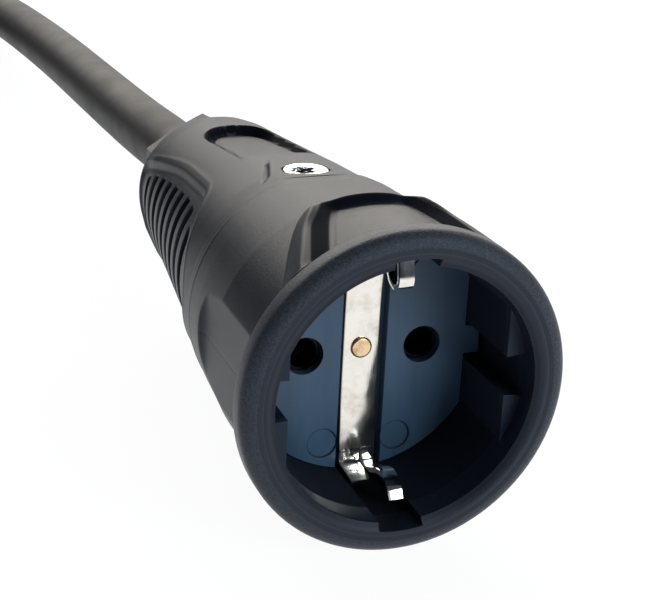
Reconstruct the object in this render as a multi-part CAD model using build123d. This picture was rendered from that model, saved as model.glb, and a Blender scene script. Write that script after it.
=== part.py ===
from build123d import *
import os
from math import cos, radians, sin, sqrt, tan

# In-line power socket on a thick rubber cord, with a matching plug on the far end of the cord.
#
# The part lies as it rests. X runs to the right, Y runs away from the open mouth and along the
# cord, and Z is up from the surface. The origin is under the middle of the socket connector.
# The socket's pieces are drawn about their own axis, with depth counted from the mouth plane,
# and are then laid down on the rim. All sizes are in millimetres.

# The two line contacts set the size of all that is round them
PIN_PITCH = 19.0
BLOCK_W = 7.0            # of each terminal block, behind its contact
BLOCK_CLEAR = 1.4        # beside the blocks
SPIGOT_WALL = 2.2
SHOULDER_W = 3.3         # from the collar's outside out to the recess wall
SPIGOT_BORE_R = PIN_PITCH / 2 + BLOCK_W / 2 + BLOCK_CLEAR
SPIGOT_R = SPIGOT_BORE_R + SPIGOT_WALL  # collar that the rear shell slides over
BORE_R = SPIGOT_R + SHOULDER_W  # the recess that a plug enters

# Rim and mouth of the front shell
BORE_DEPTH = 32.0        # depth of the shoulder that the contact carrier seats on
LEAD_STEP = 1.3          # width of the lead-in, and depth of the two earth channels
LEAD_DEPTH = 0.6
FRONT_RING_W = 1.4       # flat front ring between the lead-in and the rounded edge
BELL_WALL = 3.0
RIM_STEP = 2.1           # the flange stands this far out from the bell
RIM_BACK = 4.4           # depth of the flange's rear face
RIM_ROUND = 2.0          # depth at which the rounded front edge reaches the full radius
EARTH_CHANNEL_W = 6.5
KEY_STEP = 3.05          # the flats of the key segments stand in from the recess wall
KEY_SLOT = 6.0           # gap between an upper and a lower key segment
KEY_FRONT = 3.9
LEAD_R = BORE_R + LEAD_STEP
RIM_BAND_R = LEAD_R + FRONT_RING_W
BELL_R = BORE_R + BELL_WALL
RIM_R = BELL_R + RIM_STEP  # also the height of the axis when the socket lies down
KEY_X = BORE_R - KEY_STEP

# Bell of the front shell
BELL_ROUND_AT = 36.0     # depth where the bell starts to round off
BELL_END = 41.4
BELL_END_STEP = 1.0
SIDE_FLAT_CUT = 1.6
SIDE_FLAT_END = 28.5
SIDE_FLAT_RUNOUT = 5.0   # radius of the hollow in which each side flat ends
SPIGOT_LEN = 12.6
BELL_END_R = BELL_R - BELL_END_STEP
SIDE_FLAT_X = BELL_R - SIDE_FLAT_CUT

# Horseshoe rib round the label field, in plan: distance from the middle, depth
ARCH_FRONT = (18.9, 2.8)
ARCH_CORNER = (10.9, 21.2)
ARCH_BACK = 20.5
ARCH_CORNER_R = 3.0
FIELD_FRONT = (12.3, 5.0)
FIELD_CORNER = (7.2, 18.9)
FIELD_BACK = 18.1
FIELD_CORNER_R = 2.4
FIELD_BEVEL = 1.6        # slope of the rib's inner edge
PANEL_INSET = 0.9
PANEL_RAISE = 0.18

# Sloping flat along the top of both shells
TOP_FLAT_CUT = 0.8       # below the bell's top line at TOP_FLAT_AT
TOP_FLAT_AT = 24.4
TOP_FLAT_FALL = 0.105    # fall for each millimetre of depth
TOP_FLAT_START = 20.6
TOP_FLAT_Z = BELL_R - TOP_FLAT_CUT  # height over the axis at TOP_FLAT_AT

# Rear shell: how far it has narrowed from its front edge, and distance behind the bell
REAR_STEP = 0.9          # below the rear edge of the bell
REAR_MID = (2.5, 28.6)
REAR_WAIST = (5.0, 50.6)
REAR_LIP = (6.0, 56.1)
REAR_END_DROP = 7.5
REAR_LEN = 59.8
REAR_END_WALL = 0.9      # between its rear end's edge and the end of the tapering hollow
BULKHEAD_AT = 43.6       # behind the bell
SLIDE_FIT = 0.3          # between the collar and the rear shell
REAR_R = BELL_END_R - REAR_STEP
REAR_END_R = REAR_R - REAR_END_DROP
REAR_BORE_END_R = REAR_END_R - REAR_END_WALL

# Grip fields, seen from the side: distance behind the bell, height over the axis
GRIP_NOSE = (7.1, 0.0)
GRIP_OUTLINE = [(12.9, 8.5), (20.1, 13.0), (38.2, 11.0), (55.0, 6.4)]
GRIP_TAIL = (57.0, 0.0)
GRIP_CORNER_R = 2.6
GRIP_DEPTH = 1.1
GROOVE_COUNT = 8
GROOVE_FIRST = 16.8      # behind the bell
GROOVE_PITCH = 4.72
GROOVE_W = 1.9
GROOVE_DEPTH = 1.0
GROOVE_INSET = 0.9       # the grooves stop this far inside the field's edge

# Recess on the top flat of the rear shell
POCKET_FRONT = 19.1      # behind the bell
POCKET_END = 45.6
POCKET_HALF_W = 6.7
POCKET_DEPTH = 1.2       # at its front
POCKET_FALL = 0.131      # fall of its floor for each millimetre
POCKET_PANEL_INSET = 1.0
POCKET_PANEL_RAISE = 0.15

# Housing screw, straight down through the rear shell into the collar
SCREW_AT = 5.2           # behind the bell
SCREW_SINK = 0.2
SCREW_HEAD_R = 3.6
SCREW_HEAD_T = 1.8
SCREW_SHANK_R = 1.5
SCREW_LEN = 9.6
SCREW_FIT = 0.1
SCREW_BOSS_R = 3.4
CROSS_L = 3.6
CROSS_W = 0.9
CROSS_DEPTH = 1.1

# Contact carrier in the mouth
CARRIER_FACE = 18.0
CARRIER_FIT = 0.2
TAB_HALF_W = 2.3
TAB_BACKOFF = 0.8        # the tabs stop this far short of the bore
PIN_HOLE_R = 3.0
PIN_HOLE_LEN = 1.5
FACE_CHANNEL_HALF_W = 3.7
FACE_CHANNEL_DEPTH = 2.0
EJECTOR_R = 2.4
EJECTOR_AT = (6.0, 15.0)
EJECTOR_DEPTH = 0.3

# Earth strap
STRAP_T = 0.8
STRAP_W = 5.7
STRAP_BACKOFF = 0.6      # from the recess wall in to the middle of the legs
STRAP_BEND_R = 1.0
ARM_W = 2.3
ARM_SHAPE = [(0.0, 16.1), (1.9, 12.0), (2.3, 10.3), (1.9, 8.7), (1.0, 7.3), (-0.4, 6.5)]
LEG_W = 3.2
LEG_END = 13.0
LEG_SPREAD = 0.4
STRAP_REACH = BORE_R - STRAP_BACKOFF
RIVET_HEAD_R = 1.7
RIVET_HEAD_T = 0.5
RIVET_R = 1.3

# Line contacts and terminals
SLEEVE_R = 3.5
SLEEVE_BORE_R = 2.4
SLEEVE_FIT = 0.15
SLEEVE_LEN = 14.0
BLOCK_AT = 34.0          # depth of the terminal blocks' front faces
BLOCK_H = 7.6
BLOCK_LEN = 10.0
TERMINAL_SCREW_R = 1.5
TERMINAL_SCREW_LEN = 3.4
TERMINAL_SCREW_PROUD = 0.8
SLOT_W = 0.6
SLOT_DEPTH = 0.7

# Cord, cores and clamping
CORD_R = 6.25
CORE_R = 1.7
CORE_OFFSET = 2.3        # from the cord's axis to the middle of each core
CORE_LEAD = 6.0          # straight part of a core at each of its ends
CORE_BEND_R = 4.0
SHEATH_AT = 26.0         # the sheath starts this far behind the bell
SEAT_FIT = 0.05
CLAMP_AT = 31.0          # front of the clamp, behind the bell
CLAMP_LEN = 8.0
CLAMP_TOP = 8.8
CLAMP_GAP = 0.6
CLAMP_FIT = 0.2          # between the clamp bar's rounded corners and the hollow
CLAMP_SIDE = 0.4
CRADLE_TOP = -1.6
CLAMP_SCREW_R = 1.4
CLAMP_SCREW_EDGE = 2.8   # from the bar's end to the middle of each screw
CLAMP_SCREW_TOP = 6.2
CLAMP_SCREW_LEN = 11.0
CLAMP_R = REAR_BORE_END_R - CLAMP_FIT
CLAMP_HALF_W = CLAMP_R - CLAMP_SIDE
CLAMP_SCREW_X = CLAMP_HALF_W - CLAMP_SCREW_EDGE
SEAL_R = 8.9
SEAL_LEN = 5.6
SEAL_FIT = 0.15
NUT_LEN = 5.3            # part of the gland nut that shows
NUT_ACROSS = 22.0        # across the flats
NUT_THREAD_R = 8.8
NUT_THREAD_LEN = 7.0
NUT_CORD_GAP = 0.3
NUT_CHAMFER = 0.9

# Plug on the far end of the cord, with depth counted from its face plane
PLUG_NOSE_R = 19.2
PLUG_NOSE_LEN = 17.0
PLUG_KEY_X = 16.2
PLUG_TAB_HALF_W = 2.4
PLUG_TAB_X = 18.4
PLUG_FLANGE_R = 21.5     # also the height of the plug's axis
PLUG_FLANGE_LEN = 4.0
PLUG_FLANGE_ROUND = 1.2
PLUG_BODY_R = 19.6
PLUG_BODY_MID = (18.2, 20.0)
PLUG_BODY_LEN = 46.0
PLUG_BODY_END_R = 13.2
PLUG_GROOVES = 5
PLUG_GROOVE_FIRST = 10.0
PLUG_GROOVE_HALF_H = 9.5
PLUG_HOLLOW_R = 13.4
PLUG_HOLLOW_END_R = 10.4
PLUG_FACE_R = 15.0
PLUG_FACE_T = 6.0
PLUG_FACE_SET = 0.6      # the face plate sits this far inside the nose
PLUG_PIN_R = 2.4
PLUG_PIN_LEN = 19.0
PLUG_PIN_NECK_R = 2.0    # in the face plate
PLUG_PIN_ROOT_GAP = 0.2  # the pin's full width ends this far in front of the plate
PLUG_PIN_ROUND = 1.4
PLUG_PIN_COLLAR_R = 3.2
PLUG_PIN_COLLAR_LEN = 4.0
PLUG_CLIP_W = 6.0
PLUG_CLIP_T = 1.0
PLUG_CLIP_LEN = 14.0
PLUG_CLIP_SIDE_GAP = 0.2
PLUG_SHEATH_AT = 48.0
PLUG_AT = (-92.0, 16.0)  # middle of the plug's face plane, seen from above

# Route of the cord. It turns left into its coil, leaves the coil and comes back to the plug
CORD_ROUTE = [
    (0, 53.25, 25),
    (0, 83, 25),
    (0, 135, 21.6),
    (-0.25, 190, 17.3),
    (-1.4, 245, 12.9),
    (-2.8, 276, 10.1),
]
TAIL_ROUTE = [
    (-105.4, 241.7, 12.1),
    (-96.9, 223.6, 10.3),
    (-92.6, 203, 8.1),
    (-91.6, 183, 7.0),
    (-91.7, 163, 9.6),
    (-92.1, 143, 14.9),
    (-92, 125, 19.6),
    (-92, 106.5, 21.5),
    (-92, 88.3, 21.5),
]
COIL_CENTRE = (-72.0, 318.0)
COIL_MID_R = 62.5
COIL_WIDE = 25.0         # two turns side by side
COIL_HIGH = 23.4         # a third turn lies in the groove between them
COIL_CORNER_R = 6.0
COIL_ENTRY_LEN = 36.0
COIL_EXIT_LEN = 50.0
TIE_ANGLE = 100.0
TIE_W = 16.0
TIE_T = 1.4
TIE_GAP = 0.3
TIE_CORNER_R = 3.2

# Values that follow from the ones above
REAR_END = BELL_END + REAR_LEN
LENGTH = REAR_END + NUT_LEN
LAID = Location((0, -LENGTH / 2, RIM_R))
CARRIER_R = BORE_R - CARRIER_FIT
STRAP_BACK = CARRIER_FACE + FACE_CHANNEL_DEPTH
SPIGOT_END = BELL_END + SPIGOT_LEN
SCREW_DEPTH = BELL_END + SCREW_AT
CLAMP_FRONT = BELL_END + CLAMP_AT
SHEATH_FRONT = BELL_END + SHEATH_AT
BULKHEAD = BELL_END + BULKHEAD_AT
SEAL_FRONT = REAR_END - NUT_THREAD_LEN - SEAL_LEN
PLUG_BODY_AT = PLUG_NOSE_LEN + PLUG_FLANGE_LEN
PLUG_BODY_END = PLUG_BODY_AT + PLUG_BODY_LEN
PLUG_SEAL_FRONT = PLUG_BODY_END - NUT_THREAD_LEN - SEAL_LEN
PLUG_LAID = Location((PLUG_AT[0], PLUG_AT[1], PLUG_FLANGE_R))


def top_flat(depth):
    """Height of the sloping top flat over the axis at a depth."""
    return TOP_FLAT_Z - TOP_FLAT_FALL * (depth - TOP_FLAT_AT)


def turned(*lines):
    """Solid turned about the axis from closed lines through points of radius and depth.

    Its seam line lies underneath, clear of what is cut in the sides and the top.
    """
    return Rot(0, 90, 0) * revolve(make_face(lines), Axis.Y, 360)


def ring(outer, inner, start, end):
    """Plain ring about the axis, or a rod if the inner radius is 0."""
    return turned(Polyline((inner, start), (outer, start), (outer, end), (inner, end), close=True))


def slab(section, start, end):
    """A cross-section seen from the mouth, x right and y up, carried between two depths."""
    plane = Plane((0, end, 0), x_dir=(1, 0, 0), z_dir=(0, -1, 0))
    return extrude(plane * section, amount=end - start)


def upright(plan, bottom, top):
    """Upright prism over a plan outline of x and depth."""
    return extrude(Pos(0, 0, bottom) * plan, amount=top - bottom)


def post(x, depth, radius, bottom, top):
    """Upright round post or hole."""
    return upright(Pos(x, depth) * Circle(radius), bottom, top)


def both_sides(shape):
    """A shape and its mirror image on the other side of the upright middle plane."""
    return shape + mirror(shape, Plane.YZ)


def on_slope(height, depth, fall, sketch, thick):
    """Prism on a plane that falls to the rear, from a sketch of x and distance down the slope."""
    slope = Plane((0, depth, height), x_dir=(1, 0, 0), z_dir=(0, fall, 1))
    return extrude(slope * sketch, amount=thick)


def top_flat_cut(start, end):
    """What the sloping top flat takes off between two depths."""
    sketch = Pos(0, (end - start) / 2) * Rectangle(3 * RIM_R, end - start)
    return on_slope(top_flat(start), start, TOP_FLAT_FALL, sketch, RIM_R)


def bow(front, corner, back, corner_r):
    """Plan outline that narrows to the rear and has a slightly hollow rear edge."""
    rear = ThreePointArc(corner, (0, back), (-corner[0], corner[1]))
    sides = Polyline((-corner[0], corner[1]), (-front[0], front[1]), front, corner)
    face = make_face([rear, sides])
    return fillet(face.vertices().sort_by(Axis.Y)[-2:], corner_r)


def bell_body():
    """The front shell's outside, bore and collar, turned in one piece."""
    bulge = (RIM_BAND_R + 0.65 * (RIM_R - RIM_BAND_R), 0.28 * RIM_ROUND)
    rim = ThreePointArc((RIM_BAND_R, 0), bulge, (RIM_R, RIM_ROUND))
    flange = Polyline((RIM_R, RIM_ROUND), (RIM_R, RIM_BACK), (BELL_R, RIM_BACK), (BELL_R, BELL_ROUND_AT))
    middle = ((3 * BELL_R + BELL_END_R) / 4, (BELL_ROUND_AT + BELL_END) / 2)
    rounding = ThreePointArc((BELL_R, BELL_ROUND_AT), middle, (BELL_END_R, BELL_END))
    inside = Polyline(
        (BELL_END_R, BELL_END),
        (SPIGOT_R, BELL_END),
        (SPIGOT_R, SPIGOT_END),
        (SPIGOT_BORE_R, SPIGOT_END),
        (SPIGOT_BORE_R, BORE_DEPTH),
        (BORE_R, BORE_DEPTH),
        (BORE_R, LEAD_DEPTH),
        (LEAD_R, 0),
        (RIM_BAND_R, 0),
    )
    return turned(rim, flange, rounding, inside)


def side_flat_cut():
    """What one side flat takes off, with the hollow it ends in."""
    middle_x = SIDE_FLAT_X + SIDE_FLAT_RUNOUT
    reach = SIDE_FLAT_RUNOUT * sin(radians(45))
    end = (middle_x, SIDE_FLAT_END + SIDE_FLAT_RUNOUT)
    start = (SIDE_FLAT_X, SIDE_FLAT_END)
    hollow = ThreePointArc(start, (middle_x - reach, SIDE_FLAT_END + reach), end)
    rest = Polyline(end, (RIM_R + 3, end[1]), (RIM_R + 3, RIM_BACK), (SIDE_FLAT_X, RIM_BACK), start)
    return upright(make_face([hollow, rest]), -BELL_R, BELL_R)


def on_field_side(edge):
    """True for the long edges at both sides of the label field, on top of the rib."""
    middle = edge.position_at(0.5)
    slant = (FIELD_FRONT[0] - FIELD_CORNER[0]) / (FIELD_CORNER[1] - FIELD_FRONT[1])
    side = FIELD_FRONT[0] - slant * (middle.Y - FIELD_FRONT[1])
    radius = sqrt(middle.X**2 + middle.Z**2)
    return abs(radius - RIM_R) < 0.05 and abs(abs(middle.X) - side) < 0.2 and edge.length > 5


def label_rib():
    """Horseshoe rib round the label field, as high as the flange."""
    barrel = ring(RIM_R, BELL_R - 1.5, RIM_BACK - 0.5, ARCH_CORNER[1] + 2)
    outer = bow(ARCH_FRONT, ARCH_CORNER, ARCH_BACK, ARCH_CORNER_R)
    field = bow(FIELD_FRONT, FIELD_CORNER, FIELD_BACK, FIELD_CORNER_R)
    rib = upright(outer, BELL_R / 2, RIM_R + 1) & barrel
    rib = rib - upright(field, BELL_R / 2, RIM_R + 2)
    return chamfer(rib.edges().filter_by(on_field_side), FIELD_BEVEL)


def field_panel():
    """Thin panel on the floor of the label field."""
    field = bow(FIELD_FRONT, FIELD_CORNER, FIELD_BACK, FIELD_CORNER_R)
    skin = ring(BELL_R + PANEL_RAISE, BELL_R - 1, 0, BELL_END)
    return upright(offset(field, -PANEL_INSET), BELL_R / 2, RIM_R + 2) & skin


def key_segments():
    """The four key segments in the recess, two on each side."""
    window = Pos(BORE_R, 0) * Rectangle(2 * (BORE_R - KEY_X), 2 * BORE_R)
    window = window - Rectangle(4 * BORE_R, KEY_SLOT)
    section = Circle(BORE_R + 0.5) & window
    return both_sides(slab(section, KEY_FRONT, BORE_DEPTH))


def screw_boss():
    """Boss on the collar's inside that the housing screw bites in."""
    foot = top_flat(SCREW_DEPTH) - SCREW_SINK - SCREW_LEN - 1
    boss = post(0, SCREW_DEPTH, SCREW_BOSS_R, foot, SPIGOT_R)
    return boss & ring(SPIGOT_R, 0, BELL_END - 2, SPIGOT_END)


def front_shell():
    """Front shell: rim, recess, bell and the collar that the rear shell slides over."""
    body = bell_body()
    body = body - top_flat_cut(TOP_FLAT_START, BELL_END)
    body = body - both_sides(side_flat_cut())
    body = body + label_rib() + field_panel()
    channel = Rectangle(EARTH_CHANNEL_W, 4 * BORE_R) & Circle(LEAD_R)
    body = body - slab(channel, -1, BORE_DEPTH)
    body = body + key_segments() + screw_boss()
    return body - post(0, SCREW_DEPTH, SCREW_SHANK_R + SCREW_FIT, 0, RIM_R)


def rear_body(sink=0.0):
    """The rear shell's outside as a filled solid, sunk by an amount."""
    front = (REAR_R - sink, BELL_END)
    middle = (REAR_R - REAR_MID[0] - sink, BELL_END + REAR_MID[1])
    waist = (REAR_R - REAR_WAIST[0] - sink, BELL_END + REAR_WAIST[1])
    lip = (REAR_R - REAR_LIP[0] - sink, BELL_END + REAR_LIP[1])
    end = (REAR_END_R - sink, REAR_END)
    side = ThreePointArc(front, middle, waist)
    rounding = ThreePointArc(waist, lip, end)
    return turned(side, rounding, Polyline(end, (0, REAR_END), (0, BELL_END), front))


def grip_region(inset):
    """Prism across the shell over the side-view outline of the grip fields."""
    lower = [(along, -height) for along, height in reversed(GRIP_OUTLINE)]
    points = [GRIP_NOSE, *GRIP_OUTLINE, GRIP_TAIL, *lower]
    face = make_face(Polyline(*[(BELL_END + p[0], p[1]) for p in points], close=True))
    face = fillet(face.vertices(), GRIP_CORNER_R)
    if inset:
        face = offset(face, -inset)
    side = Plane((-RIM_R, 0, 0), x_dir=(0, 1, 0), z_dir=(1, 0, 0))
    return extrude(side * face, amount=2 * RIM_R)


def rear_hollow():
    """Inside of the rear shell: the bore for the collar and the taper to the bulkhead."""
    bore = SPIGOT_R + SLIDE_FIT
    step = SPIGOT_END + SLIDE_FIT
    return turned(
        Polyline(
            (0, BELL_END - 1),
            (bore, BELL_END - 1),
            (bore, step),
            (bore - 1.5, step + 1.5),
            (REAR_BORE_END_R, BULKHEAD),
            (0, BULKHEAD),
            close=True,
        )
    )


def cradle():
    """Saddle inside the rear shell that carries the sheath under the clamp bar."""
    section = Pos(0, CRADLE_TOP - RIM_R / 2) * Rectangle(2 * CLAMP_HALF_W, RIM_R)
    section = section - Circle(CORD_R + SEAT_FIT)
    block = slab(section, CLAMP_FRONT, CLAMP_FRONT + CLAMP_LEN)
    return block & rear_body(GRIP_DEPTH + GROOVE_DEPTH + 0.5)


def pocket_plan(inset):
    """Pocket outline on its floor: a straight front edge and a round rear end."""
    straight = POCKET_END - POCKET_FRONT - POCKET_HALF_W
    face = Pos(0, straight / 2) * Rectangle(2 * POCKET_HALF_W, straight)
    face = face + Pos(0, straight) * Circle(POCKET_HALF_W)
    return offset(face, -inset) if inset else face


def clamp_screw_holes():
    """Holes for the two clamp screws, through the bar and into the cradle."""
    middle = CLAMP_FRONT + CLAMP_LEN / 2
    foot = CLAMP_SCREW_TOP - CLAMP_SCREW_LEN
    return both_sides(post(CLAMP_SCREW_X, middle, CLAMP_SCREW_R + SCREW_FIT, foot, CLAMP_TOP + 1))


def rear_shell():
    """Rear shell: tapered cover with two ribbed grip fields, pocket and gland seat."""
    body = rear_body() - top_flat_cut(BELL_END - 1, REAR_END + 5)
    body = body - ((rear_body() - rear_body(GRIP_DEPTH)) & grip_region(0))
    field = grip_region(GROOVE_INSET)
    core = rear_body(GRIP_DEPTH + GROOVE_DEPTH)
    for i in range(GROOVE_COUNT):
        at = BELL_END + GROOVE_FIRST + i * GROOVE_PITCH
        band = ring(RIM_R, 2, at - GROOVE_W / 2, at + GROOVE_W / 2)
        body = body - ((band - core) & field)
    front = BELL_END + POCKET_FRONT
    floor = top_flat(front) - POCKET_DEPTH
    body = body - on_slope(floor, front, POCKET_FALL, pocket_plan(0), RIM_R)
    body = body + on_slope(floor, front, POCKET_FALL, pocket_plan(POCKET_PANEL_INSET), POCKET_PANEL_RAISE)
    body = body - rear_hollow() + cradle() - clamp_screw_holes()
    body = body - ring(CORD_R + NUT_CORD_GAP, 0, BULKHEAD - 1, SEAL_FRONT)
    body = body - ring(SEAL_R + SEAL_FIT, 0, SEAL_FRONT, REAR_END + 1)
    seat = top_flat(SCREW_DEPTH) - SCREW_SINK - SCREW_HEAD_T
    body = body - post(0, SCREW_DEPTH, SCREW_SHANK_R + SLIDE_FIT, SPIGOT_R, RIM_R)
    return body - post(0, SCREW_DEPTH, SCREW_HEAD_R + SCREW_FIT, seat, RIM_R)


def housing_screw():
    """Flat-headed screw with a cross recess."""
    top = top_flat(SCREW_DEPTH) - SCREW_SINK
    screw = post(0, SCREW_DEPTH, SCREW_HEAD_R, top - SCREW_HEAD_T, top)
    screw = screw + post(0, SCREW_DEPTH, SCREW_SHANK_R, top - SCREW_LEN, top - SCREW_HEAD_T)
    cross = Rectangle(CROSS_L, CROSS_W) + Rectangle(CROSS_W, CROSS_L)
    return screw - upright(Pos(0, SCREW_DEPTH) * Rot(0, 0, 30) * cross, top - CROSS_DEPTH, top + 1)


def contact_carrier():
    """Keyed insert that holds the contacts, seated on the shoulder of the front shell."""
    flats = Rectangle(2 * (KEY_X - CARRIER_FIT), 4 * BORE_R)
    tabs = Rectangle(2 * (BORE_R - TAB_BACKOFF), 2 * TAB_HALF_W)
    body = slab(Circle(CARRIER_R) & (flats + tabs), CARRIER_FACE, BORE_DEPTH)
    channel = Rectangle(2 * FACE_CHANNEL_HALF_W, 4 * BORE_R)
    body = body - slab(channel, CARRIER_FACE - 1, STRAP_BACK)
    hole = slab(Pos(PIN_PITCH / 2, 0) * Circle(PIN_HOLE_R), CARRIER_FACE - 1, BORE_DEPTH + 1)
    seat = Pos(PIN_PITCH / 2, 0) * Circle(SLEEVE_R + SLEEVE_FIT)
    seat = slab(seat, CARRIER_FACE + PIN_HOLE_LEN, BORE_DEPTH + 1)
    body = body - both_sides(hole) - both_sides(seat)
    for z in (-EJECTOR_AT[1], EJECTOR_AT[1]):
        mark = Pos(EJECTOR_AT[0], z) * Circle(EJECTOR_R)
        body = body - both_sides(slab(mark, CARRIER_FACE - 1, CARRIER_FACE + EJECTOR_DEPTH))
    return body - ring(RIVET_R + SCREW_FIT, 0, CARRIER_FACE, BORE_DEPTH + 1)


def strip(points, left, right):
    """Bent strip between two x positions that follows points of height and depth."""
    face = trace(FilletPolyline(*points, radius=STRAP_BEND_R), STRAP_T)
    side = Plane((right, 0, 0), x_dir=(0, 0, 1), z_dir=(-1, 0, 0))
    return extrude(side * face, amount=right - left)


def earth_strap():
    """One-piece strap: a bar over the carrier, and a leg and a sprung arm at each end."""
    middle = STRAP_BACK - STRAP_T / 2
    bar = slab(Rectangle(STRAP_W, 2 * STRAP_REACH - 4), STRAP_BACK - STRAP_T, STRAP_BACK)
    strap = bar - ring(RIVET_R + SCREW_FIT, 0, STRAP_BACK - 2, STRAP_BACK + 1)
    root = [(STRAP_REACH - 3, middle), (STRAP_REACH, middle)]
    spring = [(STRAP_REACH - inward, depth) for inward, depth in ARM_SHAPE]
    arm = strip([*root, *spring], STRAP_W / 2 - ARM_W, STRAP_W / 2)
    leg = strip([*root, (STRAP_REACH + LEG_SPREAD, LEG_END)], -STRAP_W / 2, LEG_W - STRAP_W / 2)
    for piece in (arm, leg):
        strap = strap + piece + mirror(piece, Plane.XY)
    return strap


def earth_rivet():
    """Rivet that ties the strap, the carrier and the earth terminal together."""
    seat = STRAP_BACK - STRAP_T
    head = ring(RIVET_HEAD_R, 0, seat - RIVET_HEAD_T, seat)
    head = fillet(head.edges().group_by(Axis.Y)[0], 0.8 * RIVET_HEAD_T)
    return head + ring(RIVET_R, 0, seat, BORE_DEPTH + STRAP_T)


def terminal_screw_hole(x):
    """Hole for a clamping screw in the top of a terminal block."""
    foot = BLOCK_H / 2 + TERMINAL_SCREW_PROUD - TERMINAL_SCREW_LEN
    return post(x, BLOCK_AT + BLOCK_LEN / 2, TERMINAL_SCREW_R + SCREW_FIT, foot, BLOCK_H)


def line_contact(x):
    """Round contact sleeve with its terminal block behind the carrier."""
    front = CARRIER_FACE + PIN_HOLE_LEN
    body = slab(Pos(x, 0) * Circle(SLEEVE_R), front, BLOCK_AT + 1)
    body = body + slab(Pos(x, 0) * Rectangle(BLOCK_W, BLOCK_H), BLOCK_AT, BLOCK_AT + BLOCK_LEN)
    body = body - slab(Pos(x, 0) * Circle(SLEEVE_BORE_R), front - 1, front + SLEEVE_LEN)
    return body - terminal_screw_hole(x)


def earth_terminal():
    """Block against the rear of the carrier, held by the rivet."""
    body = slab(Rectangle(BLOCK_W, BLOCK_H), BORE_DEPTH, BLOCK_AT + BLOCK_LEN)
    body = body - ring(RIVET_R + SCREW_FIT, 0, BORE_DEPTH - 1, BORE_DEPTH + STRAP_T)
    return body - terminal_screw_hole(0)


def terminal_screws():
    """The clamping screws of the three terminals."""
    top = BLOCK_H / 2 + TERMINAL_SCREW_PROUD
    depth = BLOCK_AT + BLOCK_LEN / 2
    screws = []
    for x in (-PIN_PITCH / 2, 0, PIN_PITCH / 2):
        screw = post(x, depth, TERMINAL_SCREW_R, top - TERMINAL_SCREW_LEN, top)
        slot = Pos(x, depth) * Rectangle(4 * TERMINAL_SCREW_R, SLOT_W)
        screws.append(screw - upright(slot, top - SLOT_DEPTH, top + 1))
    return Compound(children=screws)


def core(x, angle):
    """One core from its terminal block to its place in the end of the sheath."""
    start = BLOCK_AT + BLOCK_LEN
    end_x = CORE_OFFSET * sin(radians(angle))
    end_z = CORE_OFFSET * cos(radians(angle))
    path = FilletPolyline(
        (x, start, 0),
        (x, start + CORE_LEAD, 0),
        (end_x, SHEATH_FRONT - CORE_LEAD, end_z),
        (end_x, SHEATH_FRONT, end_z),
        radius=CORE_BEND_R,
    )
    return sweep(Plane((x, start, 0), z_dir=(0, 1, 0)) * Circle(CORE_R), path=path)


def sheath_end():
    """The sheath inside the socket, up to the rear face of the gland nut."""
    return ring(CORD_R, 0, SHEATH_FRONT, LENGTH)


def cord_clamp():
    """Clamp bar over the sheath."""
    bottom = CRADLE_TOP + CLAMP_GAP
    section = Pos(0, (bottom + CLAMP_TOP) / 2) * Rectangle(2 * CLAMP_HALF_W, CLAMP_TOP - bottom)
    section = (section - Circle(CORD_R + SEAT_FIT)) & Circle(CLAMP_R)
    return slab(section, CLAMP_FRONT, CLAMP_FRONT + CLAMP_LEN) - clamp_screw_holes()


def clamp_screws():
    """Two set screws that pull the clamp bar down."""
    middle = CLAMP_FRONT + CLAMP_LEN / 2
    foot = CLAMP_SCREW_TOP - CLAMP_SCREW_LEN
    sides = (-CLAMP_SCREW_X, CLAMP_SCREW_X)
    return Compound(children=[post(x, middle, CLAMP_SCREW_R, foot, CLAMP_SCREW_TOP) for x in sides])


def seal_bush(front):
    """Rubber bush that the gland nut presses round the cord."""
    return ring(SEAL_R, CORD_R + SEAT_FIT, front, front + SEAL_LEN)


def gland_nut(start):
    """Hexagon nut with a corner up, and its threaded part in front of it."""
    corner_r = NUT_ACROSS / 2 / cos(radians(30))
    end = start + NUT_LEN
    nut = slab(Rot(0, 0, 90) * RegularPolygon(corner_r, 6), start, end)
    rounded = (NUT_ACROSS / 2 - 0.2, end)
    shoulder = (corner_r + 0.1, end - NUT_CHAMFER)
    nut = nut & turned(Polyline((0, start), (corner_r + 0.1, start), shoulder, rounded, (0, end), close=True))
    nut = nut + ring(NUT_THREAD_R, 0, start - NUT_THREAD_LEN, start)
    return nut - ring(CORD_R + NUT_CORD_GAP, 0, start - NUT_THREAD_LEN - 1, end + 1)


def plug_clip_channels():
    """Channels for the two earth clips, in the top and bottom of the nose."""
    floor = PLUG_NOSE_R - PLUG_CLIP_T
    section = Rectangle(PLUG_CLIP_W + 2 * PLUG_CLIP_SIDE_GAP, 4 * PLUG_NOSE_R)
    section = section - Rectangle(4 * PLUG_NOSE_R, 2 * floor)
    return slab(section, -1, PLUG_CLIP_LEN)


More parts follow.
